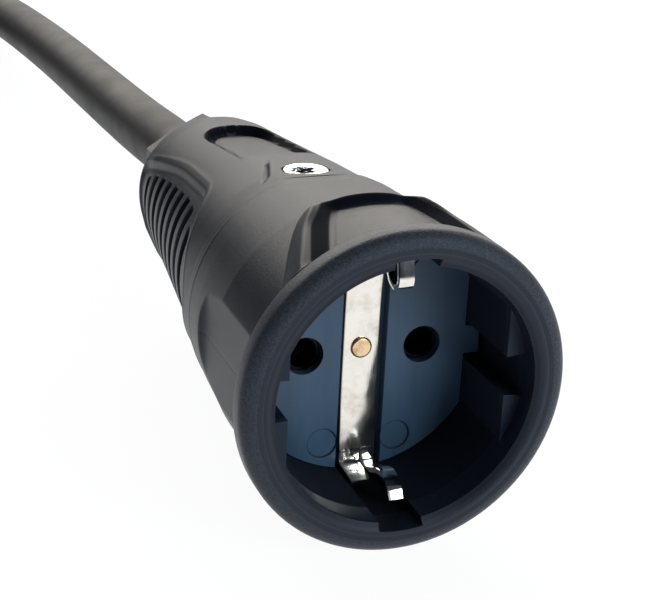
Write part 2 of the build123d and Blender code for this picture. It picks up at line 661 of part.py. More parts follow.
def plug_shell():
    """Plug housing: keyed nose, flange, and a tapered grip with grooves at its sides."""
    flats = Rectangle(2 * PLUG_KEY_X, 4 * PLUG_NOSE_R) + Rectangle(2 * PLUG_TAB_X, 2 * PLUG_TAB_HALF_W)
    nose = slab(Circle(PLUG_NOSE_R) & flats, 0, PLUG_NOSE_LEN + 1)
    flange = ring(PLUG_FLANGE_R, 0, PLUG_NOSE_LEN, PLUG_BODY_AT)
    flange = fillet(flange.edges().filter_by(GeomType.CIRCLE), PLUG_FLANGE_ROUND)
    front = (PLUG_BODY_R, PLUG_BODY_AT - 1)
    middle = (PLUG_BODY_MID[0], PLUG_BODY_AT + PLUG_BODY_MID[1])
    end = (PLUG_BODY_END_R, PLUG_BODY_END)
    closing = Polyline(end, (0, PLUG_BODY_END), (0, PLUG_BODY_AT - 1), front)
    body = nose + flange + turned(ThreePointArc(front, middle, end), closing)
    sides = Rectangle(4 * RIM_R, 2 * PLUG_GROOVE_HALF_H)
    for i in range(PLUG_GROOVES):
        at = PLUG_BODY_AT + PLUG_GROOVE_FIRST + i * GROOVE_PITCH
        share = (at - PLUG_BODY_AT) / PLUG_BODY_LEN
        floor = PLUG_BODY_R - GROOVE_DEPTH - share * share * (PLUG_BODY_R - PLUG_BODY_END_R)
        band = ring(RIM_R, floor, at - GROOVE_W / 2, at + GROOVE_W / 2)
        body = body - (band & slab(sides, at - GROOVE_W, at + GROOVE_W))
    seat = PLUG_FACE_SET + PLUG_FACE_T
    body = body - ring(PLUG_FACE_R + CARRIER_FIT, 0, -1, seat)
    hollow_end = (PLUG_HOLLOW_END_R, PLUG_SEAL_FRONT - 4)
    hollow = [(0, seat - 1), (PLUG_HOLLOW_R, seat - 1), (PLUG_HOLLOW_R, PLUG_BODY_AT + 18), hollow_end]
    body = body - turned(Polyline(*hollow, (0, hollow_end[1]), close=True))
    body = body - ring(CORD_R + NUT_CORD_GAP, 0, hollow_end[1] - 1, PLUG_SEAL_FRONT)
    body = body - ring(SEAL_R + SEAL_FIT, 0, PLUG_SEAL_FRONT, PLUG_BODY_END + 1)
    return body - plug_clip_channels()


def plug_face():
    """Round face plate that carries the two pins."""
    plate = ring(PLUG_FACE_R, 0, PLUG_FACE_SET, PLUG_FACE_SET + PLUG_FACE_T)
    hole = Pos(PIN_PITCH / 2, 0) * Circle(PLUG_PIN_NECK_R + SEAT_FIT)
    return plate - both_sides(slab(hole, 0, PLUG_FACE_SET + PLUG_FACE_T + 1))


def plug_pin(x):
    """Round pin with a rounded tip, a neck in the face plate and a collar behind it."""
    seat = PLUG_FACE_SET + PLUG_FACE_T
    root = PLUG_FACE_SET - PLUG_PIN_ROOT_GAP
    pin = slab(Pos(x, 0) * Circle(PLUG_PIN_R), PLUG_FACE_SET - PLUG_PIN_LEN, root)
    pin = fillet(pin.edges().group_by(Axis.Y)[0], PLUG_PIN_ROUND)
    pin = pin + slab(Pos(x, 0) * Circle(PLUG_PIN_NECK_R), root - 1, seat + 1)
    return pin + slab(Pos(x, 0) * Circle(PLUG_PIN_COLLAR_R), seat, seat + PLUG_PIN_COLLAR_LEN)


def plug_earth_clips():
    """Flat earth clips in the channels of the nose, one on top and one below."""
    floor = PLUG_NOSE_R - PLUG_CLIP_T
    window = Pos(0, floor + PLUG_NOSE_R) * Rectangle(PLUG_CLIP_W, 2 * PLUG_NOSE_R)
    clip = slab(Circle(PLUG_NOSE_R) & window, 0.3, PLUG_CLIP_LEN)
    return Compound(children=[clip, mirror(clip, Plane.XY)])


def plug_sheath():
    """The sheath inside the plug, up to the rear face of its gland nut."""
    return ring(CORD_R, 0, PLUG_SHEATH_AT, PLUG_BODY_END + NUT_LEN)


def turn_at(before, corner, after):
    """Half of the route's turn at a corner, in radians, and the shorter of its two runs."""
    a = Vector(*corner) - Vector(*before)
    b = Vector(*after) - Vector(*corner)
    return radians(a.get_angle(b)) / 2, min(a.length, b.length)


def cord_radii(route):
    """The largest arc that fits at each inner point of a route."""
    radii = []
    for before, corner, after in zip(route, route[1:], route[2:]):
        half, run = turn_at(before, corner, after)
        radii.append(0.45 * run / tan(half))
    return radii


def cord_tube(route):
    """Round cord along straight runs joined by arcs."""
    path = FilletPolyline(*route, radius=cord_radii(route))
    start = Plane(route[0], z_dir=Vector(*route[1]) - Vector(*route[0]))
    return sweep(start * Circle(CORD_R), path=path)


def stub(end, beside, length):
    """Straight end of the coil that carries on from a tube's last run."""
    inward = Vector(*end) - Vector(*beside)
    return extrude(Plane(end, z_dir=inward) * Circle(CORD_R), amount=length)


def cord_coil():
    """The coil's outer shape, with a straight end for each of the two tubes."""
    section = Pos(COIL_MID_R, COIL_HIGH / 2) * RectangleRounded(COIL_WIDE, COIL_HIGH, COIL_CORNER_R)
    body = Pos(*COIL_CENTRE, 0) * revolve(Plane.XZ * section, Axis.Z, 360)
    body = body + stub(CORD_ROUTE[-1], CORD_ROUTE[-2], COIL_ENTRY_LEN)
    body = body + stub(TAIL_ROUTE[0], TAIL_ROUTE[1], COIL_EXIT_LEN)
    across = Rectangle(COIL_WIDE + 10, TIE_W + 2 * TIE_GAP)
    return body - tie_place() * extrude(across, amount=TIE_T + TIE_GAP)


def tie_place():
    """Place of the tie on the coil, with x pointing out from the coil's middle."""
    centre = Pos(*COIL_CENTRE, 0)
    return centre * Rot(0, 0, TIE_ANGLE) * Pos(COIL_MID_R, 0, 0)


def coil_tie():
    """Strap round the coil's turns."""
    inner = RectangleRounded(COIL_WIDE + 2 * TIE_GAP + 1.2, COIL_HIGH + TIE_GAP, TIE_CORNER_R)
    outer = RectangleRounded(
        COIL_WIDE + 2 * TIE_GAP + 2 * TIE_T + 1.2, COIL_HIGH + TIE_GAP + 2 * TIE_T, TIE_CORNER_R + TIE_T
    )
    height = COIL_HIGH + TIE_GAP + 2 * TIE_T
    upright_plane = Plane((0, TIE_W / 2, height / 2), x_dir=(1, 0, 0), z_dir=(0, -1, 0))
    return tie_place() * extrude(upright_plane * (outer - inner), amount=TIE_W)


socket = {
    "front_shell": front_shell(),
    "rear_shell": rear_shell(),
    "housing_screw": housing_screw(),
    "contact_carrier": contact_carrier(),
    "earth_strap": earth_strap(),
    "earth_rivet": earth_rivet(),
    "earth_terminal": earth_terminal(),
    "line_contact_left": line_contact(-PIN_PITCH / 2),
    "line_contact_right": line_contact(PIN_PITCH / 2),
    "terminal_screws": terminal_screws(),
    "core_brown": core(-PIN_PITCH / 2, -60),
    "core_blue": core(PIN_PITCH / 2, 60),
    "core_earth": core(0, 180),
    "sheath_end": sheath_end(),
    "cord_clamp": cord_clamp(),
    "clamp_screws": clamp_screws(),
    "seal_bush": seal_bush(SEAL_FRONT),
    "gland_nut": gland_nut(REAR_END),
}
plug = {
    "plug_shell": plug_shell(),
    "plug_face": plug_face(),
    "plug_pin_left": plug_pin(-PIN_PITCH / 2),
    "plug_pin_right": plug_pin(PIN_PITCH / 2),
    "plug_earth_clips": plug_earth_clips(),
    "plug_sheath": plug_sheath(),
    "plug_seal_bush": seal_bush(PLUG_SEAL_FRONT),
    "plug_gland_nut": gland_nut(PLUG_BODY_END),
}
cord = {
    "cord": cord_tube(CORD_ROUTE),
    "cord_coil": cord_coil(),
    "coil_tie": coil_tie(),
    "cord_tail": cord_tube(TAIL_ROUTE),
}

os.makedirs("parts", exist_ok=True)
for name, shape in socket.items():
    export_step(LAID * shape, f"parts/{name}.step")
for name, shape in plug.items():
    export_step(PLUG_LAID * shape, f"parts/{name}.step")
for name, shape in cord.items():
    export_step(shape, f"parts/{name}.step")

for name, route in (("cord", CORD_ROUTE), ("cord_tail", TAIL_ROUTE)):
    radii = [round(r) for r in cord_radii(route)]
    print(name, "arc radii", radii, "volume", round(cord[name].volume))
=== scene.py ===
# %% [markdown]
# # A rubber power cable with a round in-line socket
#
# The CAD model gives the frame: every piece, its place and its size. This script dresses
# it in Blender: the camera first, then the long cord, the skins of the two shells, the
# earth strap, the light and one finish after another. Shapes are written in millimetres
# and turned into metres with MM. Camera, lamps and the noise in the shaders use metres.

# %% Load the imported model
import bmesh
import bpy
import math
import numpy as np
from mathutils import Matrix, Vector


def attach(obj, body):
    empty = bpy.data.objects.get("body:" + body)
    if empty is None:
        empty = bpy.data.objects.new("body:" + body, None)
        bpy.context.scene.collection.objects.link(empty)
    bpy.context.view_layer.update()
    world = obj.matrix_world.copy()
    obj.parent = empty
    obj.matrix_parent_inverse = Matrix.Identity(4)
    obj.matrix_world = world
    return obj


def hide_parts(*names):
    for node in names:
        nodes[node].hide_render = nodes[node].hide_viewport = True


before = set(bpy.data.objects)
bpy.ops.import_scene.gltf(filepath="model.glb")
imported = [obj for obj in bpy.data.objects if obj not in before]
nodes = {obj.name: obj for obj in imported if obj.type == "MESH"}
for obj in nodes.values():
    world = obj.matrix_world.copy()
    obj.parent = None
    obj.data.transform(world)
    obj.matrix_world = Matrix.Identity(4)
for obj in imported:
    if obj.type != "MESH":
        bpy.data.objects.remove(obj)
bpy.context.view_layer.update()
scene = bpy.context.scene
MM = 0.001
print(len(nodes), "nodes in the frame")

# %% [markdown]
# ## The camera
#
# A product photograph is taken from far enough away that lines stay nearly parallel. Here
# the lens looks down at the open mouth from the front left. A camera could be aimed with a
# Track To constraint, but three angles are exact and need no second object: how far it
# looks down, how far it is turned to the right, and a slight roll.

# %% Camera
CAMERA_PLACE = (-0.0900, -0.25033, 0.12596)
LOOK_DOWN = 21.786       # degrees under the horizon
TURN_RIGHT = 21.123      # degrees from straight along the socket
ROLL = 2.813             # degrees about the line of sight
LENS = 93.59             # focal length in millimetres
SENSOR_W = 36.0

camera_data = bpy.data.cameras.new("camera")
camera_data.lens = LENS
camera_data.sensor_width = SENSOR_W
camera_data.clip_start = 0.01
camera_data.clip_end = 20.0
camera = bpy.data.objects.new("camera", camera_data)
turn = Matrix.Rotation(math.radians(-TURN_RIGHT), 4, "Z")
tilt = Matrix.Rotation(math.radians(90 - LOOK_DOWN), 4, "X")
roll = Matrix.Rotation(math.radians(ROLL), 4, "Z")
camera.matrix_world = Matrix.Translation(CAMERA_PLACE) @ turn @ tilt @ roll
scene.collection.objects.link(camera)
scene.camera = camera
scene.view_settings.view_transform = "Standard"
sight = camera.matrix_world.to_3x3() @ Vector((0, 0, -1))
print("camera looks along", tuple(round(v, 3) for v in sight))

# %% [markdown]
# ## The cord
#
# A heavy rubber cord is stiff. It leaves the socket straight, comes down to the floor over
# a hand's length and turns only in wide curves. A Bezier curve would need its handles set
# one by one, so the cord is a NURBS spline: its control points are the route, and order 3
# rounds every turn between them. The length that isn't needed is wound into a flat coil of
# two turns side by side and a third on top, and the last stretch comes back to the plug.

# %% Route of the cord
CORD_D = 12.5 * MM
CORD_SIDES = 28
CORD_OUT = [
    (0, 53.25, 25),
    (0, 72, 24.4),
    (0, 100, 21.8),
    (0, 140, 19.4),
    (-0.25, 190, 16.7),
    (-1.4, 245, 12.9),
    (-2.8, 276, 10.1),
]
CORD_BACK = [
    (-105.4, 241.7, 14.6),
    (-96.9, 223.6, 11.3),
    (-92.6, 203, 8.1),
    (-91.6, 183, 7.0),
    (-91.7, 163, 9.6),
    (-92.1, 143, 14.9),
    (-92, 125, 19.6),
    (-92, 106.5, 21.5),
    (-92, 88.3, 21.5),
]
COIL_MIDDLE = (-72, 318)
COIL_LOW = 6.25          # height of the cord's middle on the floor
COIL_TOP = 17.2          # and on top of the other turns
TIE_AT = 100.0           # degrees round the coil from the right
TIE_LIFT = 1.5           # the tie passes under the turns
TIE_SPREAD = 22          # degrees over which the turns come down again
STEPS_PER_TURN = 16

# Degrees wound, distance from the coil's middle, height of the cord's middle
COIL_STAGES = [
    (12, 68.75, 7.6),
    (40, 68.75, COIL_LOW),
    (300, 68.75, COIL_LOW),
    (358, 56.25, COIL_LOW),
    (628, 56.25, COIL_LOW),
    (685, 59.5, COIL_TOP + 0.5),
    (720, 62.5, COIL_TOP),
    (925, 62.5, COIL_TOP),
]


def between(value, stages, column):
    """Smooth step between the two stages on either side of a value."""
    for first, last in zip(stages, stages[1:]):
        if value <= last[0]:
            share = max(0.0, (value - first[0]) / (last[0] - first[0]))
            share = share * share * (3 - 2 * share)
            return first[column] + (last[column] - first[column]) * share
    return stages[-1][column]


def coil_points():
    """Control points of the coil's turns, which the spline passes a little inside."""
    points = []
    first, last = COIL_STAGES[0][0], COIL_STAGES[-1][0]
    count = round((last - first) / 360 * STEPS_PER_TURN)
    outside = 1 / (1 - 0.75 * (1 - math.cos(math.pi / STEPS_PER_TURN)))
    for i in range(count + 1):
        wound = first + (last - first) * i / count
        reach = between(wound, COIL_STAGES, 1) * outside
        from_tie = (wound - TIE_AT + 180) % 360 - 180
        lift = TIE_LIFT * math.exp(-((from_tie / TIE_SPREAD) ** 2))
        angle = math.radians(wound)
        x = COIL_MIDDLE[0] + reach * math.cos(angle)
        y = COIL_MIDDLE[1] + reach * math.sin(angle)
        points.append((x, y, between(wound, COIL_STAGES, 2) + lift))
    return points


def smooth_curve(name, points, radius, sides):
    """Round tube along one NURBS spline whose control points are in millimetres."""
    data = bpy.data.curves.new(name, "CURVE")
    data.dimensions = "3D"
    spline = data.splines.new("NURBS")
    spline.points.add(len(points) - 1)
    for place, point in zip(points, spline.points):
        point.co = (place[0] * MM, place[1] * MM, place[2] * MM, 1)
    spline.order_u = 3
    spline.use_endpoint_u = True
    data.resolution_u = 10
    data.bevel_depth = radius
    data.bevel_resolution = sides // 2 - 2
    data.use_fill_caps = True
    obj = bpy.data.objects.new(name, data)
    scene.collection.objects.link(obj)
    return obj


cord_route = CORD_OUT + coil_points() + CORD_BACK
cord_sheath = smooth_curve("cord_sheath", cord_route, CORD_D / 2, CORD_SIDES)


def curve_length(obj):
    """Length of a curve's own line, read from its mesh without the bevel."""
    line = obj.copy()
    line.data = obj.data.copy()
    line.data.bevel_depth = 0
    mesh = bpy.data.meshes.new_from_object(line)
    verts = [v.co.copy() for v in mesh.vertices]
    bpy.data.meshes.remove(mesh)
    bpy.data.objects.remove(line)
    return sum((b - a).length for a, b in zip(verts, verts[1:]))


print("cord", round(curve_length(cord_sheath), 4), "m long")

# %% [markdown]
# ## Moulded shells
#
# Both shells are turned shapes with flats, ribs and hollows worked into the skin. On the
# real ones every edge is slightly round, because it comes out of a mould. Box modelling
# with bevels would need clean loops round every feature, so each shell is drawn as rings
# of points about its axis instead, and plain functions say how far each point lies from it.

# %% Tools for skins of rings
AXIS_HEIGHT = 25.0
MOUTH_AT = -53.25        # world Y of the mouth plane
WALL_SLANTS = (0.22, 0.36)   # slants from which a skin counts as the wall of a hollow
BEHIND_RIM = (4.6, 5.4)      # depths where the rim ends and such walls can begin


def ease(value, low, high):
    """Smooth step from 0 to 1 while a value goes from low to high."""
    share = np.clip((value - low) / (high - low), 0, 1)
    return share * share * (3 - 2 * share)


def soft_min(first, second, width):
    """The lower of two values, rounded over a width where they cross."""
    share = np.clip(0.5 + 0.5 * (second - first) / width, 0, 1)
    return second + (first - second) * share - width * share * (1 - share)


def rounded(points, times=3):
    """Closed outline with its corners cut, again and again, until they are round."""
    outline = np.array(points, float)
    for _ in range(times):
        following = np.roll(outline, -1, axis=0)
        cut = [0.8 * outline + 0.2 * following, 0.2 * outline + 0.8 * following]
        outline = np.stack(cut, axis=1).reshape(-1, 2)
    return outline


def inside_by(outline, x, y):
    """How far points lie inside a closed outline. It is negative outside."""
    nearest = np.full(x.shape, 1e9)
    within = np.zeros(x.shape, bool)
    for (ax, ay), (bx, by) in zip(outline, np.roll(outline, -1, axis=0)):
        run = max((bx - ax) ** 2 + (by - ay) ** 2, 1e-12)
        share = np.clip(((x - ax) * (bx - ax) + (y - ay) * (by - ay)) / run, 0, 1)
        off_x, off_y = x - ax - share * (bx - ax), y - ay - share * (by - ay)
        nearest = np.minimum(nearest, np.hypot(off_x, off_y))
        if ay != by:
            crosses = (ay > y) != (by > y)
            within ^= crosses & (x < (bx - ax) * (y - ay) / (by - ay) + ax)
    return np.where(within, nearest, -nearest)


def mesh_object(name, verts, faces, sharp=35.0):
    """Object at the origin from points in millimetres, closed and with normals outward."""
    data = bpy.data.meshes.new(name)
    data.from_pydata((np.asarray(verts) * MM).tolist(), [], faces)
    mesh = bmesh.new()
    mesh.from_mesh(data)
    bmesh.ops.remove_doubles(mesh, verts=mesh.verts, dist=1e-7)
    bmesh.ops.recalc_face_normals(mesh, faces=mesh.faces)
    mesh.to_mesh(data)
    mesh.free()
    data.polygons.foreach_set("use_smooth", [True] * len(data.polygons))
    data.set_sharp_from_angle(angle=math.radians(sharp))
    obj = bpy.data.objects.new(name, data)
    scene.collection.objects.link(obj)
    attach(obj, "root")
    return obj


def mark_walls(obj):
    """Attribute for painted shade: 1 where a skin turns away from its own axis, as walls of
    hollows do.
    """
    count = len(obj.data.vertices)
    place, normal = np.zeros(count * 3), np.zeros(count * 3)
    obj.data.vertices.foreach_get("co", place)
    obj.data.vertices.foreach_get("normal", normal)
    out = place.reshape(-1, 3) - np.array((0, 0, AXIS_HEIGHT * MM))
    out[:, 1] = 0
    out = out / np.linalg.norm(out, axis=1)[:, None]
    slant = 1 - (out * normal.reshape(-1, 3)).sum(axis=1)
    layer = obj.data.attributes.new("wall", "FLOAT", "POINT")
    behind_rim = ease(place.reshape(-1, 3)[:, 1] / MM - MOUTH_AT, *BEHIND_RIM)
    layer.data.foreach_set("value", ease(slant, *WALL_SLANTS) * behind_rim)


def skin_of_rings(name, rings, spokes, radius_at):
    """Closed ring-shaped skin. Each ring is a kind of wall, a size and a depth."""
    angle = np.linspace(0, 2 * np.pi, spokes, endpoint=False)
    rows = []
    for kind, size, depth in rings:
        radius = size + 0 * angle if kind == "plain" else radius_at(kind, size, depth, angle)
        x = radius * np.cos(angle)
        z = radius * np.sin(angle) + AXIS_HEIGHT
        rows.append(np.stack([x, np.full(spokes, MOUTH_AT + depth), z], axis=1))
    count = len(rings)
    first, spoke = np.meshgrid(np.arange(count), np.arange(spokes), indexing="ij")
    second, turn = (first + 1) % count, (spoke + 1) % spokes
    here, there = first * spokes, second * spokes
    corners = [here + spoke, here + turn, there + turn, there + spoke]
    faces = np.stack(corners, axis=-1).reshape(-1, 4).tolist()
    skin = mesh_object(name, np.concatenate(rows), faces)
    mark_walls(skin)
    print(name, len(skin.data.polygons), "faces")
    return skin


def steps(start, end, size):
    """Even steps from a start to an end, both included."""
    return np.linspace(start, end, max(2, round(abs(end - start) / size) + 1)).tolist()


# %% [markdown]
# ## Front shell
#
# The bell is round, with a flat along its top that falls to the rear and a flat on each
# side for the fingers. A horseshoe rib frames a sunk field behind the flange. The mould
# leaves a fine step round the rib and round the field. Inside are four key segments and
# two channels for the earth spring, so the mouth takes one kind of plug only.

# %% Front shell
SEAM_AT = 40.9           # depth of the joint between the shells
RIM_R, BAND_R, LEAD_R, BORE_R, BELL_R = 25.0, 22.6, 21.2, 19.9, 22.9
COLLAR_R, COLLAR_BORE_R, COLLAR_END, BORE_END = 16.6, 14.4, 54.0, 32.0
BELL_NARROWS = [(0, 0), (22, 0), (27, 0.42), (33, 0.85), (38, 1.3), (41, 1.6)]
FLAT_HEIGHT, FLAT_AT, FLAT_FALL = 22.1, 24.4, 0.105
FLAT_START, FLAT_RUN_IN, FLAT_LIFT = 20.8, 2.5, 1.2
SIDE_FLAT_X, SIDE_FLAT_END, RUNOUT_R = 21.3, 28.5, 5.0
KEY_X, KEY_GAP, KEY_FRONT, CHANNEL_HALF_W = 16.85, 6.0, 3.9, 3.25
RIB_HEIGHT, RIB_STEP, PANEL_STEP = 2.0, 0.14, 0.16
RIB_WALL_W, RIB_WALL_WIDENS = 2.1, 0.9
SEAM_LINE_AHEAD, SEAM_LINE_H, SEAM_LINE_W = 2.6, 0.10, 0.22
MOULD_LINE_DEPTH, MOULD_LINE_W = 0.05, 0.18
UNDER_RIM = 0.06         # the bell stays this far under the flange's edge
FRONT_SPOKES, FRONT_STEP = 560, 0.3
RIB_OUTLINE = rounded(
    [(-22.4, -5), (-10.6, 21.9), (-6, 21.3), (6, 21.3), (10.6, 21.9), (22.4, -5)]
)
FIELD_OUTLINE = rounded(
    [(-14.2, -4), (-6.1, 19.4), (-4, 18.6), (4, 18.6), (6.1, 19.4), (14.2, -4)]
)


def rib_wall_width(depth):
    """Width of the sloped wall round the label field, which is wider along its sides."""
    return RIB_WALL_W + RIB_WALL_WIDENS * (1 - ease(depth, 14.0, 19.0))


def bell_radius(kind, sink, depth, angle):
    """Distance of the front shell's skin from the axis."""
    up = np.maximum(np.sin(angle), 0.05)
    across = np.maximum(np.abs(np.cos(angle)), 0.05)
    if kind == "bore":
        radius = np.full(angle.shape, sink)
        height = np.abs(KEY_X * np.tan(angle))
        key = (across > 0.5) & (height > KEY_GAP / 2) & (depth >= KEY_FRONT)
        radius = np.where(key, np.minimum(radius, KEY_X / across), radius)
        channel = (np.abs(radius * np.cos(angle)) < CHANNEL_HALF_W) & (across < 0.5)
        return np.where(channel, LEAD_R, radius)
    radius = BELL_R - np.interp(depth, *zip(*BELL_NARROWS)) + 0 * angle
    lift = FLAT_LIFT * (1 - ease(depth, FLAT_START, FLAT_START + FLAT_RUN_IN))
    flat = FLAT_HEIGHT - FLAT_FALL * (depth - FLAT_AT) + lift
    radius = soft_min(radius, flat / up, 0.5)
    if depth < SIDE_FLAT_END + RUNOUT_R:
        run = max(0.0, depth - SIDE_FLAT_END)
        flat_x = SIDE_FLAT_X + RUNOUT_R - math.sqrt(RUNOUT_R ** 2 - run ** 2)
        radius = soft_min(radius, flat_x / across, 0.12)
    x = radius * np.cos(angle)
    deep = np.full(angle.shape, depth)
    rib = inside_by(RIB_OUTLINE, x, deep)
    field = inside_by(FIELD_OUTLINE, x, deep)
    out = rib / np.maximum(rib - field, 0.01)
    inner = soft_min(np.clip(-field / rib_wall_width(depth), 0, 2), 1.0, 0.12)
    wall = inner * np.clip(out * 1.8, 0, 1) ** 0.8
    top = np.sin(angle) > 0
    rise = RIB_HEIGHT * wall + RIB_STEP * ease(rib, 0, 0.3)
    radius = radius + top * np.where(rib > 0, rise, 0)
    radius = radius + top * PANEL_STEP * ease(field, 0.6, 0.95)
    from_line = (depth - SEAM_AT + SEAM_LINE_AHEAD) / SEAM_LINE_W
    line = SEAM_LINE_H * np.exp(-(from_line ** 2))
    mould = MOULD_LINE_DEPTH * np.exp(-((np.sin(angle) * BELL_R / MOULD_LINE_W) ** 2))
    return np.minimum(radius - sink + line - mould, RIM_R - UNDER_RIM)


RIM_ROUND, FLANGE_END = 2.0, 4.4
FLANGE_BACK = [(0.0, 4.1), (0.12, 4.35), (0.4, 4.42)]      # under the flange's radius, depth
BELL_EDGE = [(0.04, 0.25), (0.14, 0.08), (0.35, 0.0)]      # under the skin, before the seam
BORE_DEPTHS = [BORE_END, 26, 22, 19, 16, 12, 9, 7, 5.5, 4.6, 4.1]
BORE_DEPTHS += [KEY_FRONT, KEY_FRONT - 0.08, 3.2, 2, 1.2, 0.75]
FACE_GROOVE = [(0.0, 0.0), (0.5, 0.0), (0.7, 0.06), (0.9, 0.0)]   # over the mouth, depth


def front_rings():
    """Rings of the front shell, from the flange back over the bell and in through the collar."""
    rings = [("plain", BAND_R, 0.0)]
    for i in range(1, 9):
        turn = math.pi / 2 * i / 8
        radius = BAND_R + (RIM_R - BAND_R) * math.sin(turn)
        rings.append(("plain", radius, RIM_ROUND * (1 - math.cos(turn))))
    rings += [("plain", RIM_R - sink, depth) for sink, depth in FLANGE_BACK]
    rings += [("bell", -0.45, 4.45), ("bell", -0.12, 4.6)]
    rings += [("bell", 0.0, depth) for depth in steps(4.8, SEAM_AT - 0.4, FRONT_STEP)]
    rings += [("bell", sink, SEAM_AT - ahead) for sink, ahead in BELL_EDGE]
    rings += [("plain", 18.0, SEAM_AT), ("plain", COLLAR_R, SEAM_AT + 0.1)]
    rings += [("plain", COLLAR_R, COLLAR_END), ("plain", COLLAR_BORE_R, COLLAR_END)]
    rings += [("plain", COLLAR_BORE_R, BORE_END)]
    rings += [("bore", BORE_R, depth) for depth in BORE_DEPTHS]
    rings += [("bore", BORE_R + 0.05, 0.6), ("bore", LEAD_R - 0.06, 0.04)]
    return rings + [("plain", LEAD_R + out, depth) for out, depth in FACE_GROOVE]


front_skin = skin_of_rings("front_skin", front_rings(), FRONT_SPOKES, bell_radius)


def mark_field_wall(obj):
    """Mark the wall round the label field for painted shade too, which is too flat to be found
    by its slope.
    """
    count = len(obj.data.vertices)
    place, value = np.zeros(count * 3), np.zeros(count)
    obj.data.vertices.foreach_get("co", place)
    x, y, z = place.reshape(-1, 3).T / MM
    depth = y - MOUTH_AT
    out = -inside_by(FIELD_OUTLINE, x, depth)
    width = rib_wall_width(depth)
    wall = ease(out, 0.0, 0.3) * (1 - ease(out, width - 0.25, width + 0.05))
    on_skin = np.hypot(x, z - AXIS_HEIGHT) > BELL_R - 0.5
    wall = wall * on_skin * (z > AXIS_HEIGHT) * (depth > FLANGE_END)
    layer = obj.data.attributes["wall"]
    layer.data.foreach_get("value", value)
    layer.data.foreach_set("value", np.maximum(value, wall))


mark_field_wall(front_skin)
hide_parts("front_shell")

# %% [markdown]
# ## Rear shell
#
# The cover narrows towards the cord. Both sides carry a ribbed grip: a sunk field with a
# sloped wall, and grooves across it that end short of the wall. On top are a shallow
# pocket, the well of the housing screw and a small wedge that points to the open side.

# %% Rear shell
REAR_NARROWS = [(0, 0), (8, 0.55), (16, 1.3), (28.6, 2.7), (40, 3.95), (50.6, 5.0)]
REAR_NARROWS += [(56.1, 6.0), (59.8, 7.5)]
REAR_R, REAR_LEN, REAR_STEP, REAR_SPOKES = 20.95, 60.3, 0.27, 410
TOP_SETTLES = 0.35       # how much the top sinks behind the seam
GLAND_BORE_R, HOLLOW_R = 9.1, 17.0
GRIP_UPPER = [(4.2, 0), (6.4, 4.6), (10.2, 10.4), (15.5, 14.2), (21, 13.7), (35, 12.2)]
GRIP_LOWER = [(57, -6.6), (49, -11), (35, -15), (20, -16.6), (10, -12.5)]
GRIP_OUTLINE = rounded(GRIP_UPPER + [(49, 9.1), (57, 6.6), (58, 0)] + GRIP_LOWER)
GROOVE_UPPER = [(6.6, 0), (11.6, 7.4), (17.0, 10.9), (22.6, 10.9), (31.7, 9.8), (41, 8.5)]
GROOVE_LOWER = [(54, -6), (41, -12), (30, -14), (19, -15), (11, -10.5)]
GROOVE_OUTLINE = rounded(GROOVE_UPPER + [(52, 5.8), (56, 0)] + GROOVE_LOWER)
GROOVES = [12.9 + 4.72 * i for i in range(9)]
GRIP_DEPTH, GRIP_LIP, GROOVE_DEPTH, GROOVE_HALF_W = 0.9, 0.07, 1.0, 1.15
POCKET_AT, POCKET_END_AT, POCKET_HALF_W = 19.1, 39.6, 6.7
POCKET_DEPTH, POCKET_DEEPENS, POCKET_FLOOR_STEP = 1.2, 0.026, 0.18
POCKET_ARC = [(-math.cos(math.pi * i / 40), math.sin(math.pi * i / 40)) for i in range(41)]
POCKET = [(POCKET_HALF_W * x, POCKET_END_AT + POCKET_HALF_W * along) for x, along in POCKET_ARC]
POCKET = np.array([(-POCKET_HALF_W, POCKET_AT)] + POCKET + [(POCKET_HALF_W, POCKET_AT)])
WEDGE = np.array([(-3.6, 13.8), (-5.3, 10.8), (-8.5, 2.2), (-6.4, 5.2)])
WEDGE_DEPTH = 0.55
SCREW_AT, SCREW_WELL_R, SCREW_WELL = 5.7, 3.75, 2.0


def cover_radius(kind, sink, along, angle):
    """Distance of the rear shell's skin from the axis."""
    up = np.maximum(np.sin(angle), 0.05)
    radius = REAR_R - np.interp(along, *zip(*REAR_NARROWS)) + 0 * angle
    radius = radius - TOP_SETTLES * ease(along, 0, 6) * ease(np.sin(angle), 0.3, 0.9)
    flat = FLAT_HEIGHT - FLAT_FALL * (along + SEAM_AT - FLAT_AT)
    radius = soft_min(radius, flat / up, 0.6)
    x = radius * np.cos(angle)
    height = radius * np.sin(angle)
    deep = np.full(angle.shape, along)
    grip = inside_by(GRIP_OUTLINE, deep, height)
    tips = inside_by(GROOVE_OUTLINE, deep, height)
    cut = GRIP_DEPTH * ease(grip, 0, 1.5)
    for at in GROOVES:
        groove = soft_min(GROOVE_HALF_W - abs(along - at), tips, 0.6)
        cut = cut + GROOVE_DEPTH * ease(groove, -0.15, 0.55)
    radius = radius - cut - GRIP_LIP * ease(grip, -0.5, 0) + GRIP_LIP * ease(grip, -0.9, -0.5)
    pocket = inside_by(POCKET, x, deep)
    hole = SCREW_WELL_R - np.hypot(x, deep - SCREW_AT)
    wedge = inside_by(WEDGE, x, deep)
    pocket_depth = POCKET_DEPTH + POCKET_DEEPENS * max(0.0, along - POCKET_AT)
    down = pocket_depth * ease(pocket, -0.2, 0.55) - POCKET_FLOOR_STEP * ease(pocket, 1.1, 1.4)
    down = down + SCREW_WELL * ease(hole, -0.12, 0.2) + WEDGE_DEPTH * ease(wedge, -0.15, 0.4)
    return radius - np.where(np.sin(angle) > 0.5, down / up, 0) - sink


